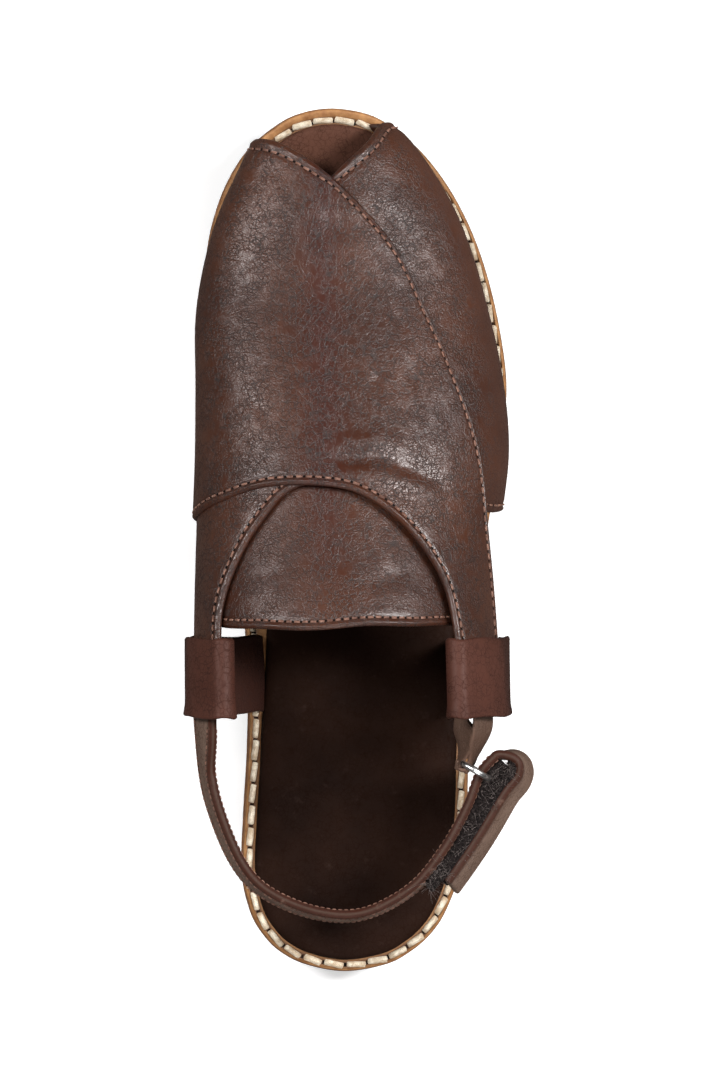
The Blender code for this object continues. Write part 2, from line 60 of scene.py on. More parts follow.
# Sole
SOLE_LENGTH = 0.288
BALL_WIDTH = 0.1024
HEEL_WIDTH = 0.075
HEEL_BACK = 0.040
HEEL_LENGTH = 0.074
HEEL_HEIGHT = 0.014
HEEL_BREAST = 0.006        # depth of the hollow in the heel's front face
HEEL_INSET = 0.0012
OUTSOLE = 0.0055
MIDSOLE = 0.0040
MIDSOLE_INSET = 0.0006
INSOLE_INSET = 0.0086      # from the sole's edge under the upper
INSOLE_HEEL_REACH = 0.0042  # how much nearer the edge the insole lies at the heel
INSOLE_TOE_REACH = 0.0030
TOE_SPRING = 0.015
TREAD_START = 0.56
TREAD_END = 0.76
MIDSOLE_GROOVE = 0.00030   # depth of the groove that the hand stitches lie in
FEATHER_RISE = 0.0013
FEATHER_INSET = 0.0076
CLEARANCE = 0.0003

# Upper
INSTEP_HEIGHT = 0.068
BAND = 0.0024
BAND_STEP = 0.0014
SIDE_SHARE = 0.30
TOE_REACH = 0.0035         # how far the bands' front corners are drawn forward and to the inner side
TOE_LEAN = 0.0012
TOE_CORNERS = (0.905, 0.955)  # shares of the sole's length between which that begins and is complete
SEAM_IN = 0.0027           # from a band's edge to its topstitching
SEAM_SINK = 0.00035        # how far the topstitching pulls the leather in
ROLL = 0.00022             # how far a turned edge stands up
GIRTH = 0.19               # what one whole turn measures where creases are placed
EDGE_STEPS = (0.0003, 0.0007, 0.0012, 0.0017, 0.0022, 0.0028, 0.0036, 0.0046)  # rows of points beside an edge
BAND_COLUMNS = 150
TONGUE = 0.0018
TONGUE_GAP = 0.0007

# Keepers, heel strap, ring
KEEPER = 0.0016
KEEPER_LENGTH = 0.0255
KEEPER_REAR = 0.302
KEEPER_INSET = 0.0048
KEEPER_PLAY = 0.0013
KEEPER_KNEE = 0.0030       # how far a keeper bends in between the sole and the tail
KEEPER_KNEE_SHARE = 0.45
STRAP = 0.0028
STRAP_WIDTH = 0.019
STRAP_LEAN = 0.16
STRAP_HEIGHT = 0.058
RING_WIRE = 0.0018
RING_HEIGHT = 0.0280
RING_SHIFT = 0.0018
RING_WIDTH = 0.0113
RING_TAB = 0.0015
RING_TAB_WIDTH = 0.0125
TAB_GAP = 0.0055
TAB_BOW = 0.0010
TAPE = 0.0024
TAPE_WIDTH = 0.017
FLAP_LEAN = 0.36
FLAP_GAP = 0.0086
FLAP_BULGE = 0.0034
FLAP_SMOOTHING = 8
STRAP_SEAM_IN = 0.0024     # from the strap's edge to its stitches
RING_DRAWN = 1.16          # how much thicker the ring's wire is drawn than its solid
SWEEP_STEPS = 3            # finer steps between the points of a strap's line

MERGED = 0.000002          # points nearer than this are one
# Colour of burnished edges, also used as painted shade in the midsole's stitch groove.
BURNISH_AND_SHADE = (0.060, 0.022, 0.007)

# Stage
CAMERA_SEAT = Vector((-0.066, 0.105, 1.42))
CAMERA_AIM = Vector((0.0015, 0.104, 0.030))
LIGHT_AIM = Vector((0.0, 0.10, 0.03))

Edge = namedtuple("Edge", "along width inner outer")
Section = namedtuple("Section", "along inner outer belly crown ridge")
Track = namedtuple("Track", "along turn")
Step = namedtuple("Step", "across along rise")
Crease = namedtuple("Crease", "along turn to_along to_turn width depth")
Strap = namedtuple("Strap", "line ups path outs path_ups gaps first final")
SoftBox = namedtuple("SoftBox", "name place size power")

SOLE_OUTLINE = [
    Edge(0.008, HEEL_WIDTH, 0.213, 0.145),
    Edge(0.023, HEEL_WIDTH, 0.328, 0.255),
    Edge(0.043, HEEL_WIDTH, 0.405, 0.343),
    Edge(0.070, HEEL_WIDTH, 0.463, 0.411),
    Edge(0.115, HEEL_WIDTH, 0.500, 0.472),
    Edge(0.180, HEEL_WIDTH, 0.493, 0.503),
    Edge(0.260, HEEL_WIDTH, 0.476, 0.512),
    Edge(0.350, BALL_WIDTH, 0.346, 0.383),
    Edge(0.440, BALL_WIDTH, 0.367, 0.415),
    Edge(0.530, BALL_WIDTH, 0.411, 0.455),
    Edge(0.610, BALL_WIDTH, 0.451, 0.494),
    Edge(0.680, BALL_WIDTH, 0.480, 0.511),
    Edge(0.745, BALL_WIDTH, 0.489, 0.489),
    Edge(0.805, BALL_WIDTH, 0.487, 0.450),
    Edge(0.860, BALL_WIDTH, 0.467, 0.394),
    Edge(0.910, BALL_WIDTH, 0.421, 0.317),
    Edge(0.950, BALL_WIDTH, 0.353, 0.227),
    Edge(0.976, BALL_WIDTH, 0.272, 0.138),
    Edge(0.993, BALL_WIDTH, 0.187, 0.052),
]
HEEL_END = -0.040
TOE_END = -0.073

LAST = [
    Section(0.28, 0.496, 0.418, 0.44, 0.98, -0.060),
    Section(0.40, 0.496, 0.420, 0.44, 1.00, -0.070),
    Section(0.50, 0.487, 0.437, 0.40, 0.93, -0.080),
    Section(0.60, 0.476, 0.472, 0.35, 0.81, -0.085),
    Section(0.68, 0.474, 0.457, 0.31, 0.70, -0.085),
    Section(0.76, 0.472, 0.412, 0.27, 0.59, -0.085),
    Section(0.84, 0.428, 0.347, 0.23, 0.48, -0.085),
    Section(0.90, 0.362, 0.270, 0.18, 0.39, -0.085),
    Section(0.94, 0.285, 0.185, 0.13, 0.29, -0.080),
    Section(0.968, 0.190, 0.097, 0.07, 0.15, -0.075),
]

TOP_FRONT = [
    Track(0.934, 0.00), Track(0.943, 0.20), Track(0.938, 0.385), Track(0.906, 0.515), Track(0.842, 0.613),
    Track(0.757, 0.66), Track(0.670, 0.70), Track(0.560, 0.75), Track(0.450, 0.80), Track(0.345, 0.84),
]
TOP_REAR = [
    Track(0.520, 0.00), Track(0.522, 0.18), Track(0.540, 0.30), Track(0.557, 0.40), Track(0.556, 0.50),
    Track(0.538, 0.56), Track(0.500, 0.62), Track(0.450, 0.67), Track(0.402, 0.69), Track(0.345, 0.70),
]
UNDER_FRONT = [
    Track(0.964, 1.00), Track(0.964, 0.80), Track(0.944, 0.645), Track(0.909, 0.49), Track(0.840, 0.38),
    Track(0.730, 0.29), Track(0.640, 0.22), Track(0.540, 0.16), Track(0.440, 0.14), Track(0.345, 0.14),
]
UNDER_REAR = [
    Track(0.552, 1.00), Track(0.534, 0.86), Track(0.534, 0.74), Track(0.563, 0.60), Track(0.566, 0.52),
    Track(0.556, 0.44), Track(0.522, 0.39), Track(0.474, 0.34), Track(0.415, 0.30), Track(0.345, 0.30),
]
TONGUE_REAR = 0.404
TONGUE_FRONT = 0.640
TONGUE_SIDE = 0.25

STRAP_PATH = [
    Step(-0.664, 0.245, 1.01), Step(-0.623, 0.196, 1.03),
    Step(-0.530, 0.139, 1.06), Step(-0.410, 0.105, 1.08), Step(-0.200, 0.082, 1.10), Step(0.010, 0.080, 1.10),
    Step(0.224, 0.108, 1.08), Step(0.371, 0.152, 1.05), Step(0.475, 0.200, 1.02), Step(0.530, 0.236, 1.01),
    Step(0.598, 0.256, 1.01),
]
STRAP_STEPS = 4
RING_STEP = 11
FLAP_STEP = 8.5

# Creases of the top band, from one place on the foot to another, with their half width and depth
TOP_CREASES = [
    Crease(0.588, 0.495, 0.590, 0.565, 0.0026, 0.0010),
    Crease(0.590, 0.565, 0.561, 0.660, 0.0026, 0.0009),
    Crease(0.604, 0.500, 0.606, 0.590, 0.0034, -0.0006),
    Crease(0.574, 0.520, 0.560, 0.620, 0.0030, -0.0005),
    Crease(0.876, 0.490, 0.842, 0.512, 0.0036, 0.0009),
    Crease(0.704, 0.559, 0.655, 0.567, 0.0014, 0.0003),
    Crease(0.690, 0.584, 0.664, 0.545, 0.0013, 0.0003),
    Crease(0.700, 0.610, 0.660, 0.630, 0.0016, 0.0003),
    Crease(0.662, 0.360, 0.628, 0.405, 0.0018, 0.0004),
    Crease(0.640, 0.330, 0.600, 0.380, 0.0018, 0.0003),
    Crease(0.758, 0.594, 0.730, 0.620, 0.0016, 0.0003),
]
UNDER_CREASES = [
    Crease(0.470, 0.300, 0.500, 0.345, 0.0022, 0.0003),
    Crease(0.880, 0.600, 0.850, 0.660, 0.0020, 0.0003),
]
TONGUE_CREASES = [
    Crease(0.500, 0.500, 0.440, 0.505, 0.0035, 0.0004),
    Crease(0.452, 0.530, 0.464, 0.620, 0.0026, 0.0005),
    Crease(0.479, 0.430, 0.450, 0.390, 0.0024, 0.0003),
]


# Shapes shared by the pieces

def value_at(rows, column, along):
    """Value of a table's column at a share of the length, on a smooth curve through the rows."""
    stations = [row.along for row in rows]
    values = [getattr(row, column) for row in rows]
    along = min(max(along, stations[0]), stations[-1])
    i = min(max(bisect.bisect_right(stations, along) - 1, 0), len(rows) - 2)

    def slope(k):
        low, high = max(k - 1, 0), min(k + 1, len(rows) - 1)
        return (values[high] - values[low]) / (stations[high] - stations[low])

    span = stations[i + 1] - stations[i]
    u = (along - stations[i]) / span
    return (
        values[i] * (1 + 2 * u) * (1 - u) ** 2
        + values[i + 1] * u * u * (3 - 2 * u)
        + slope(i) * span * u * (1 - u) ** 2
        - slope(i + 1) * span * u * u * (1 - u)
    )


def blend(a, b, c, d, u):
    """Point between b and c on a smooth curve that also heeds a and d."""
    return (b * 2 + (c - a) * u + (a * 2 - b * 5 + c * 4 - d) * u**2 + (b * 3 - a - c * 3 + d) * u**3) * 0.5


def curve_through(points, steps, closed=False):
    """Points on a smooth curve through the given ones, with a number of steps between each two."""
    count = len(points)
    spans = count if closed else count - 1
    out = []
    for i in range(spans):
        a = points[i - 1] if closed or i > 0 else points[0]
        b, c = points[i], points[(i + 1) % count]
        d = points[(i + 2) % count] if closed or i + 2 < count else points[-1]
        out += [blend(a, b, c, d, k / steps) for k in range(steps)]
    if not closed:
        out.append(points[-1].copy())
    return out


def y_at(along):
    return along * SOLE_LENGTH - HEEL_BACK


def along_at(y):
    return (y + HEEL_BACK) / SOLE_LENGTH


def ease(u):
    """A smooth step from 0 to 1."""
    u = min(max(u, 0.0), 1.0)
    return u * u * (3 - 2 * u)


def bell(distance, width):
    """1 at no distance, falling off smoothly on both sides."""
    return math.exp(-((distance / width) ** 2))


def ground_gap(y):
    """Height of the outsole's lower face: raised on the heel, flat at the tread, lifted at the toe."""
    along = along_at(y)
    heel = HEEL_LENGTH / SOLE_LENGTH
    if along < TREAD_START:
        return HEEL_HEIGHT * (1 - ease((along - heel) / (TREAD_START - heel)))
    lift = max(along - TREAD_END, 0.0) / (1 - TREAD_END)
    return TOE_SPRING * lift**1.7


def midsole_bottom(y):
    return ground_gap(y) + OUTSOLE


def midsole_top(y):
    return midsole_bottom(y) + CLEARANCE + MIDSOLE


def inward(loop, depth):
    """A closed outline drawn in by a distance, which may be a function of the share along the length."""
    moved = []
    for i, point in enumerate(loop):
        run = (loop[(i + 1) % len(loop)] - loop[i - 1]).normalized()
        amount = depth(along_at(point.y)) if callable(depth) else depth
        moved.append(point + Vector((-run.y, run.x)) * amount)
    return moved


def sole_outline(steps=8):
    inner = [Vector((-row.inner * row.width, y_at(row.along))) for row in SOLE_OUTLINE]
    outer = [Vector((row.outer * row.width, y_at(row.along))) for row in SOLE_OUTLINE]
    heel = Vector((HEEL_END * HEEL_WIDTH, y_at(0.0)))
    toe = Vector((TOE_END * BALL_WIDTH, y_at(1.0)))
    return curve_through([heel, *outer, toe, *reversed(inner)], steps, closed=True)


OUTLINE = sole_outline()
FEATHER = inward(OUTLINE, FEATHER_INSET)


def half_width(loop, y, side):
    """Distance from the middle plane to an outline at a station, on the side -1 or 1."""
    best = 0.0
    for i, point in enumerate(loop):
        other = loop[i - 1]
        if (point.y - y) * (other.y - y) <= 0 and point.y != other.y:
            x = point.x + (other.x - point.x) * (y - point.y) / (other.y - point.y)
            best = max(best, side * x)
    return best


@lru_cache(maxsize=None)
def last_section(along, side):
    """Half width, belly, crown and ridge of the foot's form at a station, and its half width at the sole."""
    y = y_at(along)
    half = value_at(LAST, "inner" if side < 0 else "outer", along) * BALL_WIDTH
    belly = value_at(LAST, "belly", along) * INSTEP_HEIGHT
    crown = value_at(LAST, "crown", along) * INSTEP_HEIGHT
    ridge = value_at(LAST, "ridge", along) * BALL_WIDTH
    return half, belly, crown, ridge, min(half_width(FEATHER, y, side), half)


def last_point(along, turn):
    """Point on the inside of the upper."""
    along = round(along, 4)
    start, end = TOE_CORNERS
    toe = ease((along - start) / (end - start))
    y = y_at(along) + TOE_REACH * toe
    side = -1 if turn < 0.5 else 1
    half, belly, crown, ridge, foot = last_section(along, side)
    base = midsole_top(y) + FEATHER_RISE
    rise = 1 - abs(2 * turn - 1)
    if rise < SIDE_SHARE:
        tuck = 0.5 - 0.5 * math.cos(math.pi * (1 - rise / SIDE_SHARE))
        x = side * (half - (half - foot) * tuck) - TOE_LEAN * toe
        return Vector((x, y, base + belly * rise / SIDE_SHARE))
    angle = (rise - SIDE_SHARE) / (1 - SIDE_SHARE) * math.pi / 2
    x = side * half * math.cos(angle) + ridge * math.sin(angle) - TOE_LEAN * toe
    return Vector((x, y, base + belly + (crown - belly) * math.sin(angle)))


def last_normal(along, turn):
    """Outward direction of the upper's surface."""
    d = 0.004
    low, high = max(turn - d, 0.0), min(turn + d, 1.0)
    run = last_point(along + d, turn) - last_point(along - d, turn)
    over = last_point(along, high) - last_point(along, low)
    return over.cross(run).normalized()


def last_offset(along, turn, offset):
    return last_point(along, turn) + last_normal(along, turn) * offset


def track_at(rows, u):
    """Place along and turn on a band's edge, at a share of the way from the feather to the tail."""
    count = len(rows) - 1
    marks = [Vector((row.along, row.turn)) for row in rows]
    i = min(int(u * count), count - 1)
    return blend(marks[max(i - 1, 0)], marks[i], marks[i + 1], marks[min(i + 2, count)], u * count - i)


def crease_depth(creases, along, turn):
    """How far the leather sinks at a place on the foot."""
    depth = 0.0
    here = Vector((along * SOLE_LENGTH, turn * GIRTH))
    for crease in creases:
        start = Vector((crease.along * SOLE_LENGTH, crease.turn * GIRTH))
        end = Vector((crease.to_along * SOLE_LENGTH, crease.to_turn * GIRTH))
        run = end - start
        share = min(max((here - start).dot(run) / run.length_squared, 0.0), 1.0)
        gap = (here - start - run * share).length
        fade = 0.35 + 0.65 * math.sin(math.pi * share)
        if gap < 4 * crease.width:
            depth += crease.depth * fade * bell(gap, crease.width)
    return depth


# Materials

def plug(tree, node, links):
    """Sets a node's inputs, by name or number, to sockets or to values. A colour is given without its alpha."""
    for key, value in links.items():
        entry = node.inputs[key]
        if isinstance(value, bpy.types.NodeSocket):
            tree.links.new(value, entry)
        else:
            entry.default_value = (*value, 1.0) if entry.type == "RGBA" else value


def add_node(tree, kind, links=None, **settings):
    """A shader node with its properties and then its inputs set."""
    node = tree.nodes.new(kind)
    for key, value in settings.items():
        setattr(node, key, value)
    plug(tree, node, links or {})
    return node


def mix_colour(tree, factor, a, b):
    return add_node(tree, "ShaderNodeMix", {0: factor, 6: a, 7: b}, data_type="RGBA").outputs[2]


def maths(tree, operation, a, b, clamp=False):
    return add_node(tree, "ShaderNodeMath", {0: a, 1: b}, operation=operation, use_clamp=clamp).outputs[0]


def spread(tree, value, low, high, to_low=0.0, to_high=1.0):
    """Maps a range of values to another, and clamps it."""
    return add_node(tree, "ShaderNodeMapRange", {0: value, 1: low, 2: high, 3: to_low, 4: to_high}).outputs[0]


def noise(tree, place, scale, detail, roughness=0.5, output="Fac"):
    links = {"Vector": place, "Scale": scale, "Detail": detail, "Roughness": roughness}
    return add_node(tree, "ShaderNodeTexNoise", links).outputs[output]


def wave(tree, place, scale, distortion, detail, direction):
    links = {"Vector": place, "Scale": scale, "Distortion": distortion, "Detail": detail}
    return add_node(tree, "ShaderNodeTexWave", links, bands_direction=direction).outputs["Fac"]


def cells(tree, place, scale, feature="DISTANCE_TO_EDGE"):
    """Distance to the border, or to the middle, of cells that fill space."""
    node = add_node(tree, "ShaderNodeTexVoronoi", {"Vector": place, "Scale": scale}, feature=feature)
    return node.outputs["Distance"]


def stretched(tree, place, scale):
    return add_node(tree, "ShaderNodeMapping", {"Vector": place, "Scale": scale}).outputs[0]


def relief(tree, height, strength, distance):
    links = {"Strength": strength, "Distance": distance, "Height": height}
    return add_node(tree, "ShaderNodeBump", links).outputs[0]


def shaded(colour, factor, lift=0.0):
    """A colour made darker or lighter."""
    return tuple(min(1.0, factor * channel + lift) for channel in colour)


def new_group(name, inputs, outputs):
    """An empty node group, with the sockets of its input and output nodes."""
    group = bpy.data.node_groups.new(name, "ShaderNodeTree")
    for side, sockets in (("INPUT", inputs), ("OUTPUT", outputs)):
        for label, kind in sockets.items():
            group.interface.new_socket(label, in_out=side, socket_type=kind)
    return group, group.nodes.new("NodeGroupInput").outputs, group.nodes.new("NodeGroupOutput").inputs


@lru_cache(maxsize=None)
def grain_group():
    """Pebbled leather: rounded cells of one size, a wider net of cracks and a fine tooth."""
    group, source, result = new_group("Leather grain", {"Vector": "NodeSocketVector", "Cell size": "NodeSocketFloat"},
                                      {"Height": "NodeSocketFloat", "Cracks": "NodeSocketFloat"})
    scaled = add_node(group, "ShaderNodeVectorMath", {0: source["Vector"], 3: source["Cell size"]},
                      operation="SCALE").outputs[0]
    warp = noise(group, scaled, 0.55, 3.0, output="Color")
    shift = add_node(group, "ShaderNodeVectorMath", {0: warp, 3: 1.6}, operation="SCALE").outputs[0]
    moved = add_node(group, "ShaderNodeVectorMath", {0: scaled, 1: shift}, operation="ADD").outputs[0]
    pebbles = cells(group, moved, 1.05)
    net = spread(group, cells(group, moved, 0.40), 0.0, 0.085)
    here = spread(group, noise(group, scaled, 0.16, 3.0), 0.32, 0.58)
    thin = maths(group, "MULTIPLY", maths(group, "SUBTRACT", 1.0, spread(group, pebbles, 0.0, 0.09)),
                 maths(group, "MULTIPLY", here, 0.80))
    wide = maths(group, "MULTIPLY", maths(group, "SUBTRACT", 1.0, net), maths(group, "ADD", here, 0.18, True))
    lines = maths(group, "MAXIMUM", thin, wide)
    height = maths(group, "MULTIPLY", spread(group, pebbles, 0.0, 0.35), 0.35)
    height = maths(group, "ADD", height, maths(group, "MULTIPLY", noise(group, scaled, 2.6, 3.0), 0.16))
    height = maths(group, "SUBTRACT", height, maths(group, "MULTIPLY", lines, 0.9))
    height = maths(group, "ADD", height, noise(group, scaled, 0.26, 1.0))
    group.links.new(height, result["Height"])
    group.links.new(lines, result["Cracks"])
    return group


@lru_cache(maxsize=None)
def wear_group():
    """Slow changes of tone over a hide, with a few pale scuffs."""
    group, source, result = new_group("Leather tone", {"Vector": "NodeSocketVector"},
                                      {"Tone": "NodeSocketFloat", "Scuff": "NodeSocketFloat"})
    place = source["Vector"]
    group.links.new(spread(group, noise(group, place, 38.0, 3.0), 0.34, 0.66), result["Tone"])
    group.links.new(spread(group, noise(group, place, 210.0, 4.0, 0.7), 0.60, 0.78), result["Scuff"])
    return group


def new_material(name, display):
    """A material with its tree, its shader and the object's own coordinates."""
    material = bpy.data.materials.new(name)
    material.use_nodes = True
    material.diffuse_color = (*display, 1.0)
    tree = material.node_tree
    return material, tree, tree.nodes["Principled BSDF"], add_node(tree, "ShaderNodeTexCoord").outputs["Object"]


def read_marks(tree):
    """The channels of the mesh colour "marks": red tone with painted shade along the ridge, dark edges with painted
    shade, and smoothness.
    """
    colour = add_node(tree, "ShaderNodeAttribute", attribute_name="marks").outputs["Color"]
    return add_node(tree, "ShaderNodeSeparateColor", {0: colour}).outputs[:3]


def leather_material(name, dark, light, red, roughness=0.29, depth=0.00009, cell=1150.0, specular=0.5):
    """Finished leather with pebbles, cracks and scuffs; its dark-edge colour also paints shade."""
    material, tree, shader, place = new_material(name, light)
    red_tone_and_painted_shade, edge, smooth = read_marks(tree)
    grain = add_node(tree, "ShaderNodeGroup", {"Vector": place, "Cell size": cell}, node_tree=grain_group()).outputs
    tone = add_node(tree, "ShaderNodeGroup", {"Vector": place}, node_tree=wear_group()).outputs
    colour = mix_colour(tree, tone["Tone"], dark, light)
    colour = mix_colour(tree, red_tone_and_painted_shade, colour, red)
    pits = maths(tree, "MULTIPLY", grain["Cracks"], spread(tree, smooth, 0.0, 1.0, 0.95, 0.10))
    colour = mix_colour(tree, pits, colour, shaded(dark, 0.15))
    colour = mix_colour(tree, maths(tree, "MULTIPLY", tone["Scuff"], 0.25), colour, shaded(light, 2.2, 0.02))
    # Dark cut edges and joints, and painted shade on inner faces, in stitch grooves and on the keepers' low parts.
    colour = mix_colour(tree, maths(tree, "MULTIPLY", edge, 0.8), colour, shaded(dark, 0.45))
    gloss = spread(tree, grain["Cracks"], 0.0, 1.0, roughness, roughness + 0.40)
    plug(tree, shader, {
        "Base Color": colour,
        "Roughness": maths(tree, "ADD", gloss, maths(tree, "MULTIPLY", smooth, 0.10)),
        "Normal": relief(tree, grain["Height"], spread(tree, smooth, 0.0, 1.0, 0.9, 0.12), depth),
        "Specular IOR Level": specular,
    })
    return material


def sole_material(name, dark, light, roughness=0.62, layers=0.0):
    """Vegetable-tanned leather: mottled face, burnished corners, painted shade in the midsole's stitch groove,
    pressed layers along its cut edge.
    """
    material, tree, shader, place = new_material(name, light)
    mottle = noise(tree, place, 260.0, 5.0, 0.7)
    slow = spread(tree, noise(tree, place, 45.0, 2.0), 0.4, 0.7)
    fibre = noise(tree, stretched(tree, place, (1.0, 1.0, 9.0)), 300.0, 4.0)
    rows = wave(tree, place, 380.0, 1.2, 2.0, "Z")
    colour = mix_colour(tree, spread(tree, mottle, 0.35, 0.65), dark, light)
    colour = mix_colour(tree, maths(tree, "MULTIPLY", slow, 0.4), colour, dark)
    colour = mix_colour(tree, read_marks(tree)[1], colour, BURNISH_AND_SHADE)
    colour = mix_colour(tree, maths(tree, "MULTIPLY", rows, layers * 0.5), colour, BURNISH_AND_SHADE)
    height = maths(tree, "ADD", fibre, maths(tree, "MULTIPLY", rows, layers))
    plug(tree, shader, {
        "Base Color": colour,
        "Roughness": spread(tree, mottle, 0.3, 0.7, roughness - 0.08, roughness + 0.1),
        "Normal": relief(tree, height, 0.5, 0.00025),
    })
    return material


def thread_material(name, dark, light, roughness=0.5, twist=2200.0):
    """Twisted thread: fine slanting plies with a little dirt."""
    material, tree, shader, place = new_material(name, light)
    ply = wave(tree, place, twist, 2.5, 1.0, "DIAGONAL")
    dirt = noise(tree, place, 420.0, 4.0, 0.65)
    colour = mix_colour(tree, spread(tree, dirt, 0.38, 0.62), dark, light)
    plug(tree, shader, {
        "Base Color": mix_colour(tree, maths(tree, "MULTIPLY", ply, 0.22), colour, dark),
        "Roughness": spread(tree, dirt, 0.3, 0.7, roughness + 0.1, roughness - 0.05),
        "Normal": relief(tree, ply, 0.5, 0.0002),
    })
    return material


def steel_material(name):
    """Polished plated wire with faint scratches."""
    material, tree, shader, place = new_material(name, (0.62, 0.61, 0.60))
    scratch = noise(tree, stretched(tree, place, (1.0, 1.0, 0.08)), 2600.0, 2.0)
    dull = noise(tree, place, 300.0, 3.0)
    plug(tree, shader, {
        "Base Color": mix_colour(tree, dull, (0.84, 0.83, 0.82), (0.95, 0.95, 0.94)),
        "Roughness": spread(tree, dull, 0.3, 0.7, 0.24, 0.36),
        "Normal": relief(tree, scratch, 0.15, 0.00005),
        "Metallic": 1.0,
    })
    return material


def fuzz_material(name, dark, light, roughness=0.9):
    """Nylon loops seen as a matted pile."""
    material, tree, shader, place = new_material(name, light)
    pile = noise(tree, place, 1500.0, 3.0, 0.8)
    height = maths(tree, "ADD", pile, cells(tree, place, 700.0, "F1"))
    plug(tree, shader, {
        "Base Color": mix_colour(tree, spread(tree, pile, 0.42, 0.68), dark, light),
        "Roughness": spread(tree, pile, 0.3, 0.7, roughness, roughness - 0.25),
        "Normal": relief(tree, height, 0.9, 0.0008),
        "Specular IOR Level": 0.12,
    })
    return material


FINISHES = {
    # Third colour of each leather, where the marks' red channel is: painted shade along the ridge of the upper and
    # tongue, the darker rolled top edge of the strap, the keepers' cut edges, the lighter toe of the insole.
    "upper": partial(leather_material, "Upper leather", (0.0400, 0.0110, 0.0046), (0.0660, 0.0205, 0.0090),
                     (0.0440, 0.0095, 0.0056), specular=0.52),
    "keeper": partial(leather_material, "Keeper leather", (0.0520, 0.0160, 0.0095), (0.0800, 0.0270, 0.0170),
                      (0.0720, 0.0220, 0.0135), 0.50, 0.00004, specular=0.22),
    "strap": partial(leather_material, "Strap leather", (0.1450, 0.0860, 0.0610), (0.2300, 0.1500, 0.1120),
                     (0.0420, 0.0110, 0.0058), 0.44, 0.00004, specular=0.16),
    "insole": partial(leather_material, "Insole", (0.0105, 0.0038, 0.0020), (0.0180, 0.0070, 0.0038),
                      (0.0950, 0.0400, 0.0260), 0.50, 0.00003, 1400.0, 0.07),
    "midsole": partial(sole_material, "Midsole leather", (0.255, 0.102, 0.029), (0.500, 0.250, 0.095)),
    "outsole": partial(sole_material, "Outsole leather", (0.190, 0.075, 0.023), (0.350, 0.160, 0.060), 0.66, 0.5),
    "heel": partial(sole_material, "Heel stack", (0.120, 0.046, 0.015), (0.240, 0.100, 0.036), 0.6, 0.8),
    "sole thread": partial(thread_material, "Waxed thread", (0.46, 0.34, 0.22), (0.82, 0.73, 0.58), 0.45, 900.0),
    "thread": partial(thread_material, "Brown thread", (0.120, 0.050, 0.032), (0.300, 0.155, 0.108)),
    "pale thread": partial(thread_material, "Pink thread", (0.180, 0.080, 0.055), (0.380, 0.200, 0.140)),
    # Stitch holes are dark discs of painted shade.
    "hole_shade": partial(fuzz_material, "Stitch hole", (0.004, 0.002, 0.0015), (0.012, 0.006, 0.004), 0.8),
    "steel": partial(steel_material, "Ring steel"),
    "fuzz": partial(fuzz_material, "Hook and loop", (0.003, 0.002, 0.002), (0.034, 0.025, 0.023)),
    "tape hair": partial(fuzz_material, "Tape hair", (0.010, 0.008, 0.007), (0.34, 0.28, 0.26), 0.7),
}


@lru_cache(maxsize=None)
def finish(name):
    """Each of the shoe's materials, made once."""
    return FINISHES[name]()


# Meshes

def add_piece(name, bm, materials, nodes=(), subdivide=0):
    """Makes a mesh from bmesh data and ties it to the solid model."""
    bmesh.ops.remove_doubles(bm, verts=bm.verts, dist=MERGED)
    bmesh.ops.recalc_face_normals(bm, faces=bm.faces)
    mesh = bpy.data.meshes.new(name)
    bm.to_mesh(mesh)
    bm.free()
    for material in materials if isinstance(materials, (list, tuple)) else [materials]:
        mesh.materials.append(material)
    mesh.shade_smooth()
    piece = bpy.data.objects.new(name, mesh)
    bpy.context.scene.collection.objects.link(piece)
    if subdivide:
        finer = piece.modifiers.new("Smooth", "SUBSURF")
        finer.levels = finer.render_levels = subdivide
    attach(piece, "root")
    if nodes:
        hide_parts(*nodes)
    return piece


def wall(columns, loop, place):
    """A closed wall: columns run along it, and loop gives the points of its section, from one to the next round.

    place(i, s, t) gives a point and its marks, from the column's number and a loop point's two numbers.
    """
    bm = bmesh.new()
    layer = bm.verts.layers.float_color.new("marks")
    made = bmesh.ops.create_grid(bm, x_segments=columns, y_segments=len(loop), size=0.5)
    for vert in made["verts"]:
        i = round((vert.co.x + 0.5) * columns)
        s, t = loop[round((vert.co.y + 0.5) * len(loop)) % len(loop)]
        vert.co, marks = place(i, s, t)
        vert[layer] = (*marks, 1.0)
    return bm


def rounded_section(width, thickness, near, middle):
    """Points round a flat strip's section: distance across it, and height from its inner face."""
    r = thickness / 2
    edge = [(r - r * math.sin(math.pi * k / 6), r - r * math.cos(math.pi * k / 6)) for k in range(7)]
    start, end = r + near[-1], width - r - near[-1]
    outer = [(r + d, thickness) for d in near]
    outer += [(start + (end - start) * k / middle, thickness) for k in range(1, middle)]
    outer += [(width - r - d, thickness) for d in reversed(near)]
    far = [(width - s, thickness - t) for s, t in edge]
    back = [(width - r - (width - 2 * r) * k / 8, 0.0) for k in range(1, 8)]
    return edge + outer + far + back


def stitch(bm, middle, run, out, length, width, rise):
    """One thread stitch: a low half-round that dives into its holes at both ends."""
    made = bmesh.ops.create_grid(bm, x_segments=6, y_segments=4, size=0.5)
    side = out.cross(run).normalized()
    for vert in made["verts"]:
        a, b = math.sin(vert.co.x * math.pi), vert.co.y * 2
        full = (1 - abs(a) ** 7) ** 0.5 if abs(a) < 1 else 0.0
        across = math.sin(b * math.pi / 2)
        lift = math.cos(b * math.pi / 2) * full
        vert.co = (
            middle + run * (a * length / 2) + side * (across * width / 2 * (0.80 + 0.20 * full))
            + out * (rise * lift - rise * 0.30 * (1 - full))
        )


def hole_shade(bm, middle, run, out, length, width):
    """A dark disc of painted shade over one of the holes that a stitch goes down into."""
    made = bmesh.ops.create_circle(bm, cap_ends=True, segments=8, radius=0.5)
    side = out.cross(run).normalized()
    for vert in made["verts"]:
        vert.co = middle + run * (vert.co.x * length) + side * (vert.co.y * width)


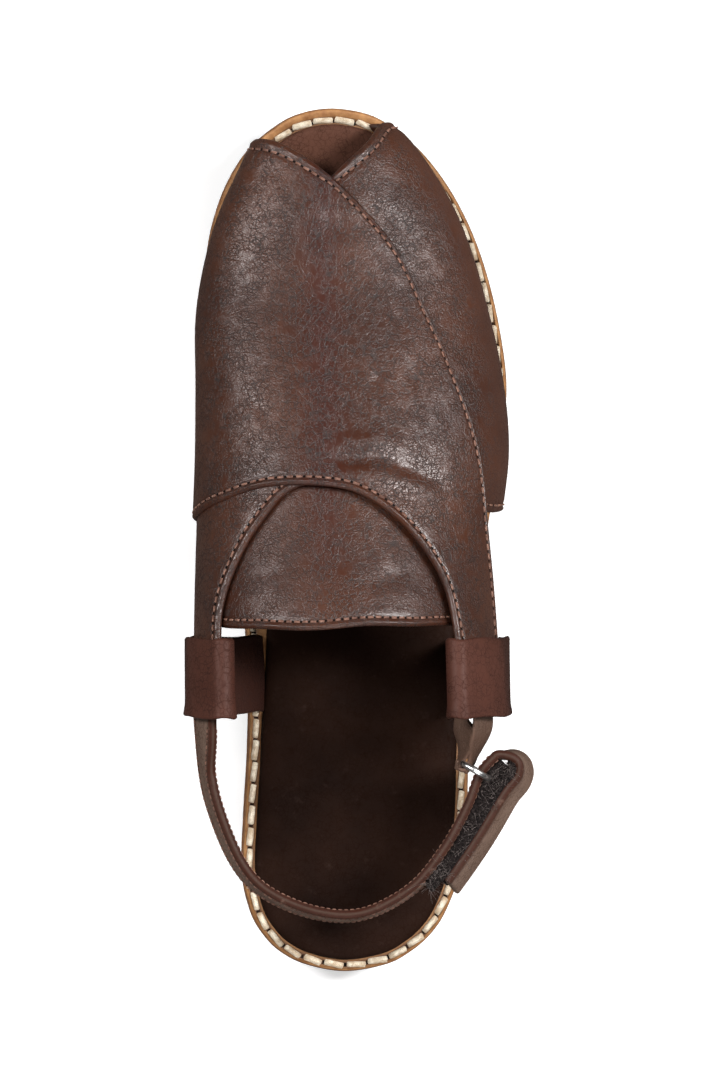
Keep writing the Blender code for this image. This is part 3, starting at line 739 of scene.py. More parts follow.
def walk(points, pitch, start=0.0):
    """Even steps along a line of (point, outward) pairs: gives point, direction of travel and outward at each."""
    travelled, target = 0.0, start
    out = []
    for (a, na), (b, nb) in zip(points, points[1:]):
        length = (b - a).length
        while length > 0 and travelled + length >= target:
            share = (target - travelled) / length
            out.append((a.lerp(b, share), (b - a).normalized(), na.lerp(nb, share).normalized()))
            target += pitch
        travelled += length
    return out


def seam(name, line, pitch, length, width, rise, thread, seed, skew=0.0):
    """A row of stitches and dark discs of painted shade over the holes between them, as one mesh."""
    chance = random.Random(seed)
    bm = bmesh.new()
    for point, run, out in walk(line, pitch, pitch / 2):
        side = out.cross(run).normalized()
        turned = (run + side * (skew + chance.uniform(-0.05, 0.05))).normalized()
        stitch(bm, point + side * chance.uniform(-0.04, 0.04) * width, turned, out,
               length * chance.uniform(0.93, 1.05), width * chance.uniform(0.92, 1.08), rise)
    split = len(bm.faces)
    for point, run, out in walk(line, pitch):
        hole_shade(bm, point + out * 0.00006, run, out, (pitch - length) * 1.25, width * 0.95)
    bm.faces.ensure_lookup_table()
    for face in bm.faces[split:]:
        face.material_index = 1
    return add_piece(name, bm, [finish(thread), finish("hole_shade")])


# Sole

def layer_of(name, loop, rows, base, material, node, spacing=0.006):
    """A layer of the sole: rows of inset, height and edge shade (burnish, and painted shade in the midsole's stitch
    groove), from its lower face round its edge to its upper.
    """
    bm = bmesh.new()
    layer = bm.verts.layers.float_color.new("marks")
    count = len(loop)
    lines = [inward(loop, inset) if callable(inset) or inset else loop for inset, height, shade in rows]
    made = bmesh.ops.create_grid(bm, x_segments=count, y_segments=len(rows) - 1, size=0.5)
    for vert in made["verts"]:
        k = round((vert.co.y + 0.5) * (len(rows) - 1))
        point = lines[k][round((vert.co.x + 0.5) * count) % count]
        vert.co = (point.x, point.y, rows[k][1])
        vert[layer] = (0.0, rows[k][2], 0.0, 1.0)
    bmesh.ops.remove_doubles(bm, verts=bm.verts, dist=MERGED)
    bmesh.ops.holes_fill(bm, edges=[edge for edge in bm.edges if edge.is_boundary], sides=0)
    low, high = min(p.y for p in loop), max(p.y for p in loop)
    cuts = int((high - low) / spacing)
    for k in range(1, cuts + 1):
        wide = [face for face in bm.faces if len(face.verts) > 4]
        bmesh.ops.bisect_plane(
            bm, geom=[*wide, *{e for f in wide for e in f.edges}, *{v for f in wide for v in f.verts}],
            dist=0.00001, plane_co=(0, low + (high - low) * k / (cuts + 1), 0), plane_no=(0, 1, 0),
        )
    for vert in bm.verts:
        vert.co.z += base(vert.co.y)
    return add_piece(name, bm, finish(material), [node])


def round_edge(thickness, radius, shade=0.5):
    """Rows of a sole layer with both corners rounded."""
    rows = [(radius * 2.5, 0.0, 0.0), (radius, 0.0, 0.2)]
    for k in range(1, 4):
        angle = math.pi / 2 * k / 3
        rows.append((radius * (1 - math.sin(angle)), radius * (1 - math.cos(angle)), shade * k / 3))
    rows.append((0.0, thickness / 2, shade))
    for k in range(4):
        inset, drop = (radius * (1 - turn(math.pi / 2 * k / 3)) for turn in (math.cos, math.sin))
        rows.append((inset, thickness - drop, shade * (1 - k / 3)))
    return rows + [(radius * 2.5, thickness, 0.0)]


def seam_inset(along):
    """Distance from the sole's edge to the middle of its hand stitches: farther in at the toe."""
    return 0.0026 + 0.0016 * ease((along - 0.88) / 0.08)


def heel_outline():
    """The sole's rear outline, closed by the hollow front face of the heel."""
    front = y_at(HEEL_LENGTH / SOLE_LENGTH)
    edge = inward(OUTLINE, HEEL_INSET)
    loop = [p for p in edge if p.y < front - 0.001]
    start = next(i for i, p in enumerate(loop) if p.x < 0 and loop[i - 1].x > 0 and p.y > 0)
    loop = loop[start:] + loop[:start]
    right, left = half_width(edge, front, 1), half_width(edge, front, -1)
    shares = [k / 16 for k in range(17)]
    return loop + [Vector((right - (right + left) * u, front - HEEL_BREAST * math.sin(math.pi * u))) for u in shares]


def midsole_rows():
    """The midsole's rows, whose upper face has the groove for the hand stitches; the groove and the face farther in,
    towards the upper, are darkened as painted shade.
    """
    top = MIDSOLE + CLEARANCE
    rows = [(0.0030, 0.0, 0.3), (0.0006, 0.0, 0.3), (0.0003, 0.0003, 0.25), (0.0, 0.0008, 0.1),
            (0.0, top / 2, 0.0), (0.0, top - 0.0010, 0.0), (0.0002, top - 0.0005, 0.0),
            (0.0006, top - 0.0001, 0.0), (0.0011, top, 0.05)]
    for distance, drop, shade in ((-0.0013, 0.0, 0.25), (-0.0009, 0.6, 0.8), (-0.0004, 1.0, 0.9), (0.0005, 1.0, 0.9),
                                  (0.0010, 0.5, 0.8), (0.0014, 0.0, 0.35), (0.0022, 0.0, 0.25), (0.0080, 0.0, 0.5)):
        rows.append((lambda along, d=distance: seam_inset(along) + d - MIDSOLE_INSET, top - MIDSOLE_GROOVE * drop,
                     shade))
    return rows


def insole_edge(along):
    """Distance from the sole's edge to the insole's."""
    rear = INSOLE_INSET - INSOLE_HEEL_REACH * (1 - ease((along - 0.27) / 0.21))
    return rear - INSOLE_TOE_REACH * ease((along - 0.90) / 0.04)


def heel_rows():
    """The heel's rows, with a fine groove between its lifts."""
    rows = [(0.0025, 0.0, 0.6), (0.0006, 0.0, 0.7), (0.0001, 0.0005, 0.6), (0.0, 0.0012, 0.4)]
    for height in (0.0046, 0.0094):
        rows += [(0.0, height - 0.0005, 0.3), (0.00035, height - 0.0001, 0.9), (0.00035, height + 0.0001, 0.9),
                 (0.0, height + 0.0005, 0.3)]
    return rows + [(0.0, HEEL_HEIGHT - 0.0004, 0.3), (0.0005, HEEL_HEIGHT, 0.8)]


def add_soles(settings):
    layer_of("outsole_leather", OUTLINE, round_edge(OUTSOLE, 0.0006, 0.35), ground_gap, "outsole", "outsole")
    layer_of("midsole_leather", inward(OUTLINE, MIDSOLE_INSET), midsole_rows(), midsole_bottom, "midsole", "midsole")
    rows = [(0.0012, 0.0, 0.0), (0.0001, 0.0, 0.3), (0.0, 0.0006, 0.3), (0.0002, 0.0013, 0.2), (0.0007, 0.0019, 0.1),
            (0.0014, 0.0023, 0.0), (0.0024, 0.0026, 0.0), (0.0036, 0.0028, 0.0), (0.0060, 0.0029, 0.0)]
    pad = layer_of("insole_leather", inward(OUTLINE, insole_edge), rows, midsole_top, "insole", "insole")
    for vert, mark in zip(pad.data.vertices, pad.data.attributes["marks"].data):
        toe = ease((along_at(vert.co.y) - 0.86) / 0.05)
        mark.color = (toe, mark.color[1], 1.0 - 0.45 * toe, 1.0)
    layer_of("heel_stack", heel_outline(), heel_rows(), lambda y: 0.0, "heel", "heel", spacing=1.0)
    path = inward(sole_outline(24), seam_inset)
    line = [(Vector((p.x, p.y, midsole_top(p.y) - MIDSOLE_GROOVE)), Vector((0, 0, 1))) for p in path + path[:1]]
    pitch = settings.sole_pitch
    seam("sole_stitches", line, pitch, pitch * 0.93, 0.0022, 0.0011, "sole thread", 4, skew=-0.10)


# Bands

def edge_relief(near, sink=SEAM_SINK):
    """Height of an outer face at a distance from its edge: a soft roll, and the sunk seam."""
    return ROLL * bell(near - 0.0010, 0.0008) - sink * bell(near - SEAM_IN, 0.0007)


def across_band(front, rear, u, steps):
    """The places on a band's rear and front edge at a share along it, and its width there."""
    a, b = track_at(rear, u), track_at(front, u)
    points = [last_point(*clamp_turn(a.lerp(b, k / steps))) for k in range(steps + 1)]
    return a, b, sum((q - p).length for p, q in zip(points, points[1:]))


def clamp_turn(mark):
    return mark.x, min(max(mark.y, 0.0), 1.0)


def ridge_shade(along, turn):
    """Painted shade along the foot's ridge: how much of the darker red colour goes there."""
    return 0.75 * bell(turn - 0.485, 0.035) * ease((along - 0.42) / 0.1)


def side_smoothness(turn):
    """1 on the sides of the foot, where the grain is pulled flat."""
    rise = 1 - abs(2 * turn - 1)
    return 1 - ease((rise - 0.34) / 0.22)


def add_band(name, front, rear, offset, creases, nodes):
    frames = [across_band(front, rear, i / BAND_COLUMNS, 16) for i in range(BAND_COLUMNS + 1)]
    sections = [rounded_section(width, BAND, EDGE_STEPS, 44) for a, b, width in frames]

    def place(i, index, unused):
        column = min(max(i - 1, 0), BAND_COLUMNS)
        a, b, width = frames[column]
        s, t = sections[column][index]
        along, turn = clamp_turn(a.lerp(b, s / width))
        near = min(s, width - s)
        height = offset + t
        inner = 1.0 - t / BAND
        if t > BAND * 0.99:
            height += edge_relief(near) - crease_depth(creases, along, turn)
        point = last_offset(along, turn, height)
        if i == 0:
            point = last_offset(along, turn, offset + BAND * 0.5 + (t - BAND / 2) * 0.6)
            point.z = midsole_top(point.y) - 0.0004
        # Painted shade: the inner face and the sunk topstitching line are darkened.
        edge = 0.75 * (t < BAND * 0.5) + 0.55 * bell(near - SEAM_IN, 0.0006) * (t > BAND * 0.9)
        foot = math.exp(-max(point.z - midsole_top(point.y), 0.0) / 0.0035)
        # Painted shade in the red colour along the ridge; just above the sole the leather is also drawn half-way to
        # the red colour.
        red = max(ridge_shade(along, turn) * (1 - inner), 0.5 * foot)
        return point, (red, min(edge, 1.0), max(side_smoothness(turn), inner))

    bm = wall(BAND_COLUMNS + 1, [(k, 0) for k in range(len(sections[0]))], place)
    add_piece(name, bm, finish("upper"), nodes, subdivide=1)


def band_seam(name, front, rear, offset, creases, at_front, pitch, seed, start=0.01, end=0.985, steps=240):
    """Topstitching along one edge of a band."""
    line = []
    for k in range(steps + 1):
        a, b, width = across_band(front, rear, start + (end - start) * k / steps, 12)
        share = SEAM_IN / width
        along, turn = clamp_turn(a.lerp(b, 1 - share if at_front else share))
        depth = crease_depth(creases, along, turn)
        line.append((last_offset(along, turn, offset + BAND - 0.00030 - depth), last_normal(along, turn)))
    seam(name, line, pitch, pitch * 0.72, 0.00080, 0.00055, "thread", seed)


BANDS = {
    "top": (TOP_FRONT, TOP_REAR, BAND_STEP, TOP_CREASES),
    "under": (UNDER_FRONT, UNDER_REAR, 0.0, UNDER_CREASES),
}


def add_bands(settings):
    for name, band in BANDS.items():
        add_band(f"{name}_band", *band, ["upper"] if name == "top" else [])
    seed = 11
    for name, band in BANDS.items():
        for edge in ("front", "rear"):
            band_seam(f"{name}_{edge}_seam", *band, edge == "front", settings.band_pitch, seed)
            seed += 1


def add_tongue(settings):
    """The panel under the crossing, with its bound and stitched rear edge a little wavy."""
    columns = 70
    loop = rounded_section((TONGUE_FRONT - TONGUE_REAR) * SOLE_LENGTH, TONGUE, EDGE_STEPS, 26)

    def spot(u, s):
        turn = TONGUE_SIDE + (1 - 2 * TONGUE_SIDE) * u
        wave = 0.0007 * math.sin((u - 0.08) * 7.4) + 0.0003 * math.sin(u * 19.0)
        fade = 1 - ease(s / 0.03)
        return TONGUE_REAR + (s - wave * fade) / SOLE_LENGTH, turn

    def place(i, s, t):
        along, turn = spot(i / columns, s)
        height = -TONGUE_GAP - TONGUE + t
        if t > TONGUE * 0.99:
            height += edge_relief(s, 0.00030) - crease_depth(TONGUE_CREASES, along, turn)
        # Painted shade: the inner face and the sunk stitching line are darkened.
        edge = 0.7 * (t < TONGUE * 0.5) + 0.5 * bell(s - SEAM_IN, 0.0006) * (t > TONGUE * 0.9)
        # Painted shade in the red colour along the ridge.
        return last_offset(along, turn, height), (ridge_shade(along, turn) * 0.8, edge, 0.1)

    add_piece("tongue_leather", wall(columns, loop, place), finish("upper"), ["tongue"], subdivide=1)
    line = []
    for k in range(161):
        along, turn = spot(0.02 + 0.96 * k / 160, SEAM_IN)
        line.append((last_offset(along, turn, -TONGUE_GAP - 0.00025), last_normal(along, turn)))
    pitch = settings.band_pitch * 0.85
    seam("tongue_seam", line, pitch, pitch * 0.72, 0.00080, 0.00050, "thread", 21)


# Keepers, strap and ring

def keeper_section(along, side, low, top, middle):
    """Middle line of a keeper at one station: up from the sole, inside the tail, over it, down and under it."""
    y = y_at(along)
    reach = STRAP / 2 + KEEPER_PLAY + KEEPER / 2
    turns = [low + (top - low) * k / 5 for k in range(6)]
    mids = [last_offset(along, turn, middle) for turn in turns]
    outs = [last_normal(along, turn) for turn in turns]
    foot = side * (half_width(OUTLINE, y, side) - KEEPER_INSET)
    root = Vector((foot, y, midsole_top(y) + CLEARANCE))
    inside = [mid - out * reach for mid, out in zip(mids, outs)]
    knee = root.lerp(inside[0], KEEPER_KNEE_SHARE) - Vector((side * KEEPER_KNEE, 0.0, 0.0))
    path = curve_through([root, knee, inside[0]], 3)[:-1] + inside
    up = (mids[-1] - mids[-2]).normalized()
    for k in range(1, 6):
        angle = math.pi * k / 6
        path.append(mids[-1] + (up * math.sin(angle) - outs[-1] * math.cos(angle)) * reach)
    path += [mid + out * reach for mid, out in zip(reversed(mids), reversed(outs))]
    down = (mids[0] - mids[1]).normalized()
    for k in range(1, 5):
        angle = math.pi * k / 8
        path.append(mids[0] + (down * math.sin(angle) + outs[0] * math.cos(angle)) * reach)
    return curve_through([Vector((point.x, y, point.z)) for point in path], 2)


def add_keeper(name, side, low, top, middle, node):
    """A leather tab wrapped round a tail, with cut edges a little uneven and a slight flare at its rear mouth."""
    stations = 12
    lines = [keeper_section(KEEPER_REAR + KEEPER_LENGTH / SOLE_LENGTH * k / stations, side, low, top, middle)
             for k in range(stations + 1)]
    count = len(lines[0]) - 1
    loop = rounded_section(KEEPER_LENGTH, KEEPER, (0.0003, 0.0007, 0.0012, 0.0020), 14)

    def at(i, s):
        share = min(max(s / KEEPER_LENGTH, 0.0), 1.0) * stations
        k = min(int(share), stations - 1)
        return lines[k][i].lerp(lines[k + 1][i], share - k)

    def place(i, s, t):
        run = (at(min(i + 1, count), s) - at(max(i - 1, 0), s)).normalized()
        out = (Vector((0, 1, 0)).cross(run) * -side).normalized()
        flare = 0.0006 * (1 - ease(s / 0.005)) * ease((i / count - 0.35) / 0.2)
        wobble = 0.0003 * math.sin(i * 0.7 + side) * (1 - ease(min(s, KEEPER_LENGTH - s) / 0.003))
        point = at(i, s) + out * (t - KEEPER / 2 + flare) + Vector((0, wobble, 0))
        cut = 0.55 if 0.001 * KEEPER < t < KEEPER * 0.999 else 0.0
        # Painted shade on the low part, between the tail and the sole, and on the inner face; the cut edges are a
        # little dark.
        low_part = 1 - ease((point.z - 0.060) / 0.004)
        shade = max(0.6 if t < KEEPER * 0.3 else 0.15 * cut, low_part)
        return point, (0.15 + 0.25 * cut, shade, 0.5)

    add_piece(name, wall(count, loop, place), finish("keeper"), [node], subdivide=1)


def add_keepers(settings):
    add_keeper("keeper_medial_leather", -1, UNDER_FRONT[-1].turn, UNDER_REAR[-1].turn, BAND / 2, "keeper_medial")
    add_keeper("keeper_lateral_leather", 1, TOP_FRONT[-1].turn, TOP_REAR[-1].turn, BAND_STEP + BAND / 2,
               "keeper_lateral")


def tail_point(along, side, share):
    """Point in the middle of a tail's wall, at a share of the way from its front edge to its rear one."""
    front, rear = (UNDER_FRONT[-1], UNDER_REAR[-1]) if side < 0 else (TOP_FRONT[-1], TOP_REAR[-1])
    offset = BAND / 2 if side < 0 else BAND_STEP + BAND / 2
    return last_offset(along, front.turn + (rear.turn - front.turn) * share, offset)


def tail_middle(along, side):
    chord = (tail_point(along, side, 0.0) + tail_point(along, side, 1.0)) / 2
    return tail_point(along, side, 0.5).lerp(chord, 0.35)


def tail_rise(along, side):
    return (tail_point(along, side, 0.85) - tail_point(along, side, 0.15)).normalized()


def strap_line():
    """Points of the strap's middle line, and the outward level direction at each."""
    marks = [tail_middle(UNDER_REAR[-1].along - 2 * CLEARANCE / SOLE_LENGTH, -1), tail_middle(KEEPER_REAR, -1)]
    marks += [Vector((row.across * HEEL_WIDTH, y_at(row.along), row.rise * STRAP_HEIGHT)) for row in STRAP_PATH]
    path = curve_through(marks, STRAP_STEPS)
    runs = [path[min(i + 1, len(path) - 1)] - path[max(i - 1, 0)] for i in range(len(path))]
    return path, [Vector((run.y, -run.x, 0.0)).normalized() for run in runs]


def lean(out, amount=STRAP_LEAN):
    return (Vector((0.0, 0.0, 1.0)) - out * amount).normalized()


@lru_cache(maxsize=None)
def strap_path():
    """The strap's whole line: forward through the ring, round the turn and back along the flap."""
    path, outs = strap_line()
    ups = [lean(out) for out in outs]
    for i in range(2 * STRAP_STEPS):
        ups[i] = tail_rise(KEEPER_REAR, -1).lerp(ups[i], ease(i / STRAP_STEPS - 1)).normalized()
    first = round(FLAP_STEP * STRAP_STEPS)
    final = len(path) - 1
    gaps = [FLAP_GAP + FLAP_BULGE * ease((i - first) / (final - first)) for i in range(final + 1)]
    run = Vector((-outs[-1].y, outs[-1].x, 0.0))
    line, line_ups = list(path), list(ups)
    centre = path[-1] + outs[-1] * gaps[-1] / 2
    for k in range(1, 8):
        angle = math.pi * k / 8
        away = run * math.sin(angle) - outs[-1] * math.cos(angle)
        line.append(centre + away * gaps[-1] / 2)
        line_ups.append(ups[-1].lerp(lean(away, FLAP_LEAN), k / 8).normalized())
    for i in reversed(range(first, final + 1)):
        line.append(path[i] + outs[i] * gaps[i])
        line_ups.append(lean(outs[i], FLAP_LEAN))
    for _ in range(FLAP_SMOOTHING):
        rows = zip(line[final:], line[final + 1:], line[final + 2:])
        line[final + 1:-1] = [(a + b * 2 + c) / 4 for a, b, c in rows]
    return Strap(line, line_ups, path, outs, ups, gaps, first, final)


def strap_frame(line, ups, k):
    """Directions across a strap and out of its face, at one of its points."""
    run = (line[min(k + 1, len(line) - 1)] - line[max(k - 1, 0)]).normalized()
    up = (ups[k] - run * ups[k].dot(run)).normalized()
    return up, run.cross(up).normalized()


def sweep(name, line, ups, width, thickness, material, nodes, marks, shape=None,
          near=(0.0003, 0.0007, 0.0012, 0.0018, 0.0024, 0.0031)):
    """A flat strap along a line, with rounded edges; marks(share, s, t) colours it and shape adds height."""
    line, ups = curve_through(line, SWEEP_STEPS), curve_through(ups, SWEEP_STEPS)
    count = len(line) - 1
    lengths = [0.0]
    for a, b in zip(line, line[1:]):
        lengths.append(lengths[-1] + (b - a).length)

    def place(i, s, t):
        k = min(max(i - 1, 0), count)
        up, out = strap_frame(line, ups, k)
        share = lengths[k] / lengths[-1]
        height = t - thickness / 2
        if i in (0, count + 2):
            height *= 0.05
        if shape:
            height += shape(share, s, t)
        return line[k] + up * (s - width / 2) + out * height, marks(share, s, t)

    bm = wall(count + 2, rounded_section(width, thickness, near, 8), place)
    add_piece(name, bm, finish(material), nodes, subdivide=1)


def edge_seam(name, line, ups, width, thickness, distance, side, settings, thread, seed, start, end):
    """Stitches along a strap, at a distance from its lower edge, on its outer (1) or inner (-1) face."""
    line, ups = curve_through(line, SWEEP_STEPS), curve_through(ups, SWEEP_STEPS)
    count = len(line) - 1
    points = []
    for k in range(round(start * count), round(end * count) + 1):
        up, out = strap_frame(line, ups, k)
        out = out * side
        points.append((line[k] + up * (distance - width / 2) + out * (thickness / 2 - 0.00010), out))
    pitch = settings.band_pitch * 0.62
    seam(name, points, pitch, pitch * 0.76, 0.00062, 0.00042, thread, seed)


def add_strap(settings):
    line, ups = strap_path()[:2]

    def shape(share, s, t):
        near = min(s, STRAP_WIDTH - s)
        dip = 0.00018 * bell(near - 0.0011, 0.0007) - 0.00028 * bell(near - STRAP_SEAM_IN, 0.0006)
        return dip * ((t > STRAP * 0.9) - (t < STRAP * 0.1))

    def marks(share, s, t):
        top = STRAP_WIDTH - s
        rolled = bell(top, 0.0022)
        # Painted shade in the stitch grooves; the joint is the dark line between the strap's two layers at its top
        # edge.
        groove = bell(min(s, top) - STRAP_SEAM_IN, 0.0005) * (t > STRAP * 0.9 or t < STRAP * 0.1)
        joint = bell(t - STRAP * 0.5, 0.00035) * (top < 0.002)
        return 0.05 + 0.95 * rolled, max(0.6 * groove, joint), 0.55

    sweep("heel_strap_leather", line, ups, STRAP_WIDTH, STRAP, "strap", ["heel_strap"], marks, shape)
    high = STRAP_WIDTH - STRAP_SEAM_IN
    for name, distance, side, thread, seed, end in (
        ("strap_outer_seam", high, 1, "thread", 31, 0.99),
        ("strap_inner_seam", high + 0.0010, -1, "pale thread", 32, 0.66),
        ("strap_low_seam", STRAP_SEAM_IN, 1, "thread", 33, 0.99),
    ):
        edge_seam(name, line, ups, STRAP_WIDTH, STRAP, distance, side, settings, thread, seed, 0.06, end)


def fibres(bm, line, ups, outs, width, count, length, chance):
    """Loose nylon hairs standing out of a tape, mostly at its upper edge."""
    for _ in range(count):
        k = chance.randrange(len(line) - 1)
        point = line[k].lerp(line[k + 1], chance.random())
        across = (1 - chance.random() ** 2.2) * width - width / 2
        start = point + ups[k] * across + outs[k] * chance.uniform(-0.5, 0.5) * TAPE
        run = (line[k + 1] - line[k]).normalized()
        lead = (ups[k] * chance.uniform(0.2, 1.0) + outs[k] * chance.uniform(-0.9, 0.9)
                + run * chance.uniform(-0.8, 0.8)).normalized()
        bend = Vector((chance.uniform(-1, 1), chance.uniform(-1, 1), chance.uniform(-0.6, 0.6))) * 0.6
        side = lead.cross(Vector((0.3, 0.2, 1.0))).normalized() * 0.00007
        made = bmesh.ops.create_grid(bm, x_segments=3, y_segments=1, size=0.5)
        reach = length * chance.uniform(0.4, 1.2)
        for vert in made["verts"]:
            a, b = vert.co.x + 0.5, vert.co.y * 2
            vert.co = start + (lead + bend * a) * (reach * a) + side * b * (1 - 0.6 * a)


def add_tapes(settings):
    """Both halves of the tape: their pile fills the gap between the strap and its flap."""
    line, _, path, outs, path_ups, gaps, first, final = strap_path()

    def plain(share, s, t):
        return 0.0, 0.0, 0.0

    def row(i, depth, out, middle):
        return middle, path_ups[i], out, depth

    def half(i):
        return (gaps[i] - STRAP) / 2 + 0.0006

    loop = [row(i, half(i), outs[i], path[i] + outs[i] * (STRAP + half(i)) / 2) for i in range(first - 1, final + 1)]
    hook = [row(i, half(i), outs[i], path[i] + outs[i] * (gaps[i] - (STRAP + half(i)) / 2))
            for i in range(first, final + 1)]
    centre = path[final] + outs[final] * gaps[final] / 2
    deep = half(final) * 1.15
    for point in reversed(line[final + 1:final + 8]):
        away = (point - centre).normalized()
        hook.append(row(final, deep, away, point - away * (STRAP + deep) / 2))

    chance = random.Random(7)
    hairs = bmesh.new()
    for name, rows, node in (("loop_pile", loop, "loop_tape"), ("hook_pile", hook, "hook_tape")):
        points, rises, sides, depths = zip(*rows)

        def rough(share, s, t, depths=depths):
            place = share * (len(depths) - 1)
            k = min(int(place), len(depths) - 2)
            depth = depths[k] + (depths[k + 1] - depths[k]) * (place - k)
            swell = (t / TAPE - 0.5) * (depth - TAPE)
            return swell + 0.00045 * math.sin(share * 190 + s * 900) * math.sin(s * 2300 + share * 77)

        sweep(name, points, rises, TAPE_WIDTH, TAPE, "fuzz", [node], plain, rough, (0.0004, 0.0009, 0.0015))
        fibres(hairs, points, rises, sides, TAPE_WIDTH, settings.hairs, 0.0034, chance)
    points, rises, sides, depths = zip(*loop[:3])
    fibres(hairs, points, rises, sides, TAPE_WIDTH, settings.hairs // 2, 0.0044, chance)
    add_piece("tape_hairs", hairs, finish("tape hair"))


def ring_place():
    path, outs = strap_line()
    i = RING_STEP * STRAP_STEPS
    return path[i] - outs[i] * RING_SHIFT, outs[i], lean(outs[i])


def add_ring(settings):
    """The oval ring as wire bent round, swept along its own line."""
    centre, out, up = ring_place()
    radius = (RING_WIDTH - RING_WIRE) / 2
    straight = (RING_HEIGHT - RING_WIDTH) / 2
    points = []
    for end in (1, -1):
        for k in range(13):
            angle = math.pi * k / 12
            rise = straight + math.sin(angle) * radius
            points.append(centre + out * math.cos(angle) * radius * end + up * end * rise)
        for k in range(1, 5):
            points.append(centre - out * radius * end + up * end * straight * (1 - 2 * k / 5))
    count = len(points)
    normal = out.cross(up).normalized()
    wire = [(math.cos(math.tau * k / 12), math.sin(math.tau * k / 12)) for k in range(12)]

    def place(i, a, b):
        k = i % count
        side = (points[(k + 1) % count] - points[k - 1]).cross(normal).normalized()
        return points[k] + (side * a + normal * b) * RING_WIRE * RING_DRAWN / 2, (0, 0, 0)

    add_piece("ring_wire", wall(count, wire, place), finish("steel"), ["ring"], subdivide=1)


def add_ring_tab(settings):
    """The tail's narrow end: it runs back from the outer keeper, round the ring's inner bar, and forward again."""
    centre, out, up = ring_place()
    bar = centre - out * (RING_WIDTH - RING_WIRE) / 2
    run = Vector((-out.y, out.x, 0.0))
    bend = RING_WIRE / 2 + CLEARANCE + RING_TAB / 2
    gate = tail_middle(KEEPER_REAR, 1)
    start = tail_middle(TOP_REAR[-1].along - 2 * CLEARANCE / SOLE_LENGTH, 1)
    side = bar + out * bend
    outer = curve_through([start, gate, gate.lerp(side, 0.55) + out * TAB_BOW, side], 3)
    angles = [math.pi * k / 8 for k in range(1, 8)]
    fold = [bar + (out * math.cos(angle) - run * math.sin(angle)) * bend for angle in angles]
    back = bar - out * bend
    rest = gate - Vector((TAB_GAP, 2 * CLEARANCE, 0.0))
    inner = curve_through([back, back.lerp(rest, 0.5), rest], 3)
    path = outer + fold + inner
    steep = tail_rise(KEEPER_REAR, 1)
    ups = []
    for k, point in enumerate(path):
        away = ease((point.y - bar.y) / (gate.y - bar.y) * 1.6)
        if k < len(outer) + 4:
            ups.append(up.lerp(steep.lerp(lean(out, 0.45), 1 - away), away).normalized())
        else:
            ups.append(up.lerp(lean(out, -0.55), away).normalized())

    def marks(share, s, t):
        # Painted shade on the inner face.
        return 0.3, 0.4 if t < RING_TAB * 0.2 else 0.0, 0.6

    sweep("ring_tab_leather", path, ups, RING_TAB_WIDTH, RING_TAB, "strap", ["ring_tab"], marks, None,
          (0.0003, 0.0007, 0.0012))
    edge_seam("tab_seam", path, ups, RING_TAB_WIDTH, RING_TAB, RING_TAB_WIDTH - 0.0012, 1, settings, "pale thread",
              41, 0.60, 0.98)


# Stage

def add_floor(settings):
    """A table that the camera sees white, and that lights the shoe little."""
    bm = bmesh.new()
    bmesh.ops.create_grid(bm, x_segments=2, y_segments=2, size=3.0)
    mesh = bpy.data.meshes.new("studio_floor")
    bm.to_mesh(mesh)
    bm.free()
    material, tree, shader, place = new_material("Studio floor", (0.9, 0.9, 0.9))
    seen = add_node(tree, "ShaderNodeLightPath").outputs["Is Camera Ray"]
    pale = mix_colour(tree, noise(tree, place, 3.0, 2.0), (0.90, 0.90, 0.90), (0.93, 0.93, 0.93))
    plug(tree, shader, {
        "Base Color": mix_colour(tree, seen, (0.14, 0.13, 0.12), pale),
        "Roughness": 0.9,
        "Specular IOR Level": 0.0,
        "Emission Color": (1.0, 1.0, 1.0),
        "Emission Strength": maths(tree, "MULTIPLY", seen, settings.table_light),
    })
    mesh.materials.append(material)
    ground = bpy.data.objects.new("studio_floor", mesh)
    bpy.context.scene.collection.objects.link(ground)


def add_stage(settings):
    """The floor, a long soft box on each side, one behind the heel, and the camera above the instep."""
    scene = bpy.context.scene
    add_floor(settings)
    scene.world = bpy.data.worlds.new("Studio")
    scene.world.use_nodes = True
    tree = scene.world.node_tree
    plug(tree, tree.nodes["Background"], {"Color": (1.0, 1.0, 1.0), "Strength": settings.fill_light})
    scene.view_settings.view_transform = "Standard"

    for box in (
        SoftBox("soft_box_inner", Vector((-0.76, 0.48, 1.05)), (0.24, 0.8), 1.0),
        SoftBox("soft_box_outer", Vector((0.80, 0.42, 1.05)), (0.26, 0.7), 1.5),
        SoftBox("soft_box_heel", Vector((0.1, -0.9, 1.0)), (0.6, 0.6), 0.5),
    ):
        light = bpy.data.lights.new(box.name, "AREA")
        light.shape = "RECTANGLE"
        light.size, light.size_y = box.size
        light.energy = settings.side_light * box.power
        lamp = bpy.data.objects.new(box.name, light)
        lamp.location = box.place
        lamp.rotation_euler = (LIGHT_AIM - box.place).to_track_quat("-Z", "Y").to_euler()
        scene.collection.objects.link(lamp)

    camera = bpy.data.cameras.new("camera")
    camera.lens = settings.lens
    camera.sensor_width = 36.0
    camera.clip_start = 0.05
    ahead = (CAMERA_AIM - CAMERA_SEAT).normalized()
    right = ahead.cross(Vector((0, 1, 0))).normalized()
    eye = bpy.data.objects.new("camera", camera)
    eye.location = CAMERA_SEAT
    eye.rotation_euler = Matrix((right, right.cross(ahead), -ahead)).transposed().to_euler()
    scene.collection.objects.link(eye)
    scene.camera = eye


# Settings, operators and panel

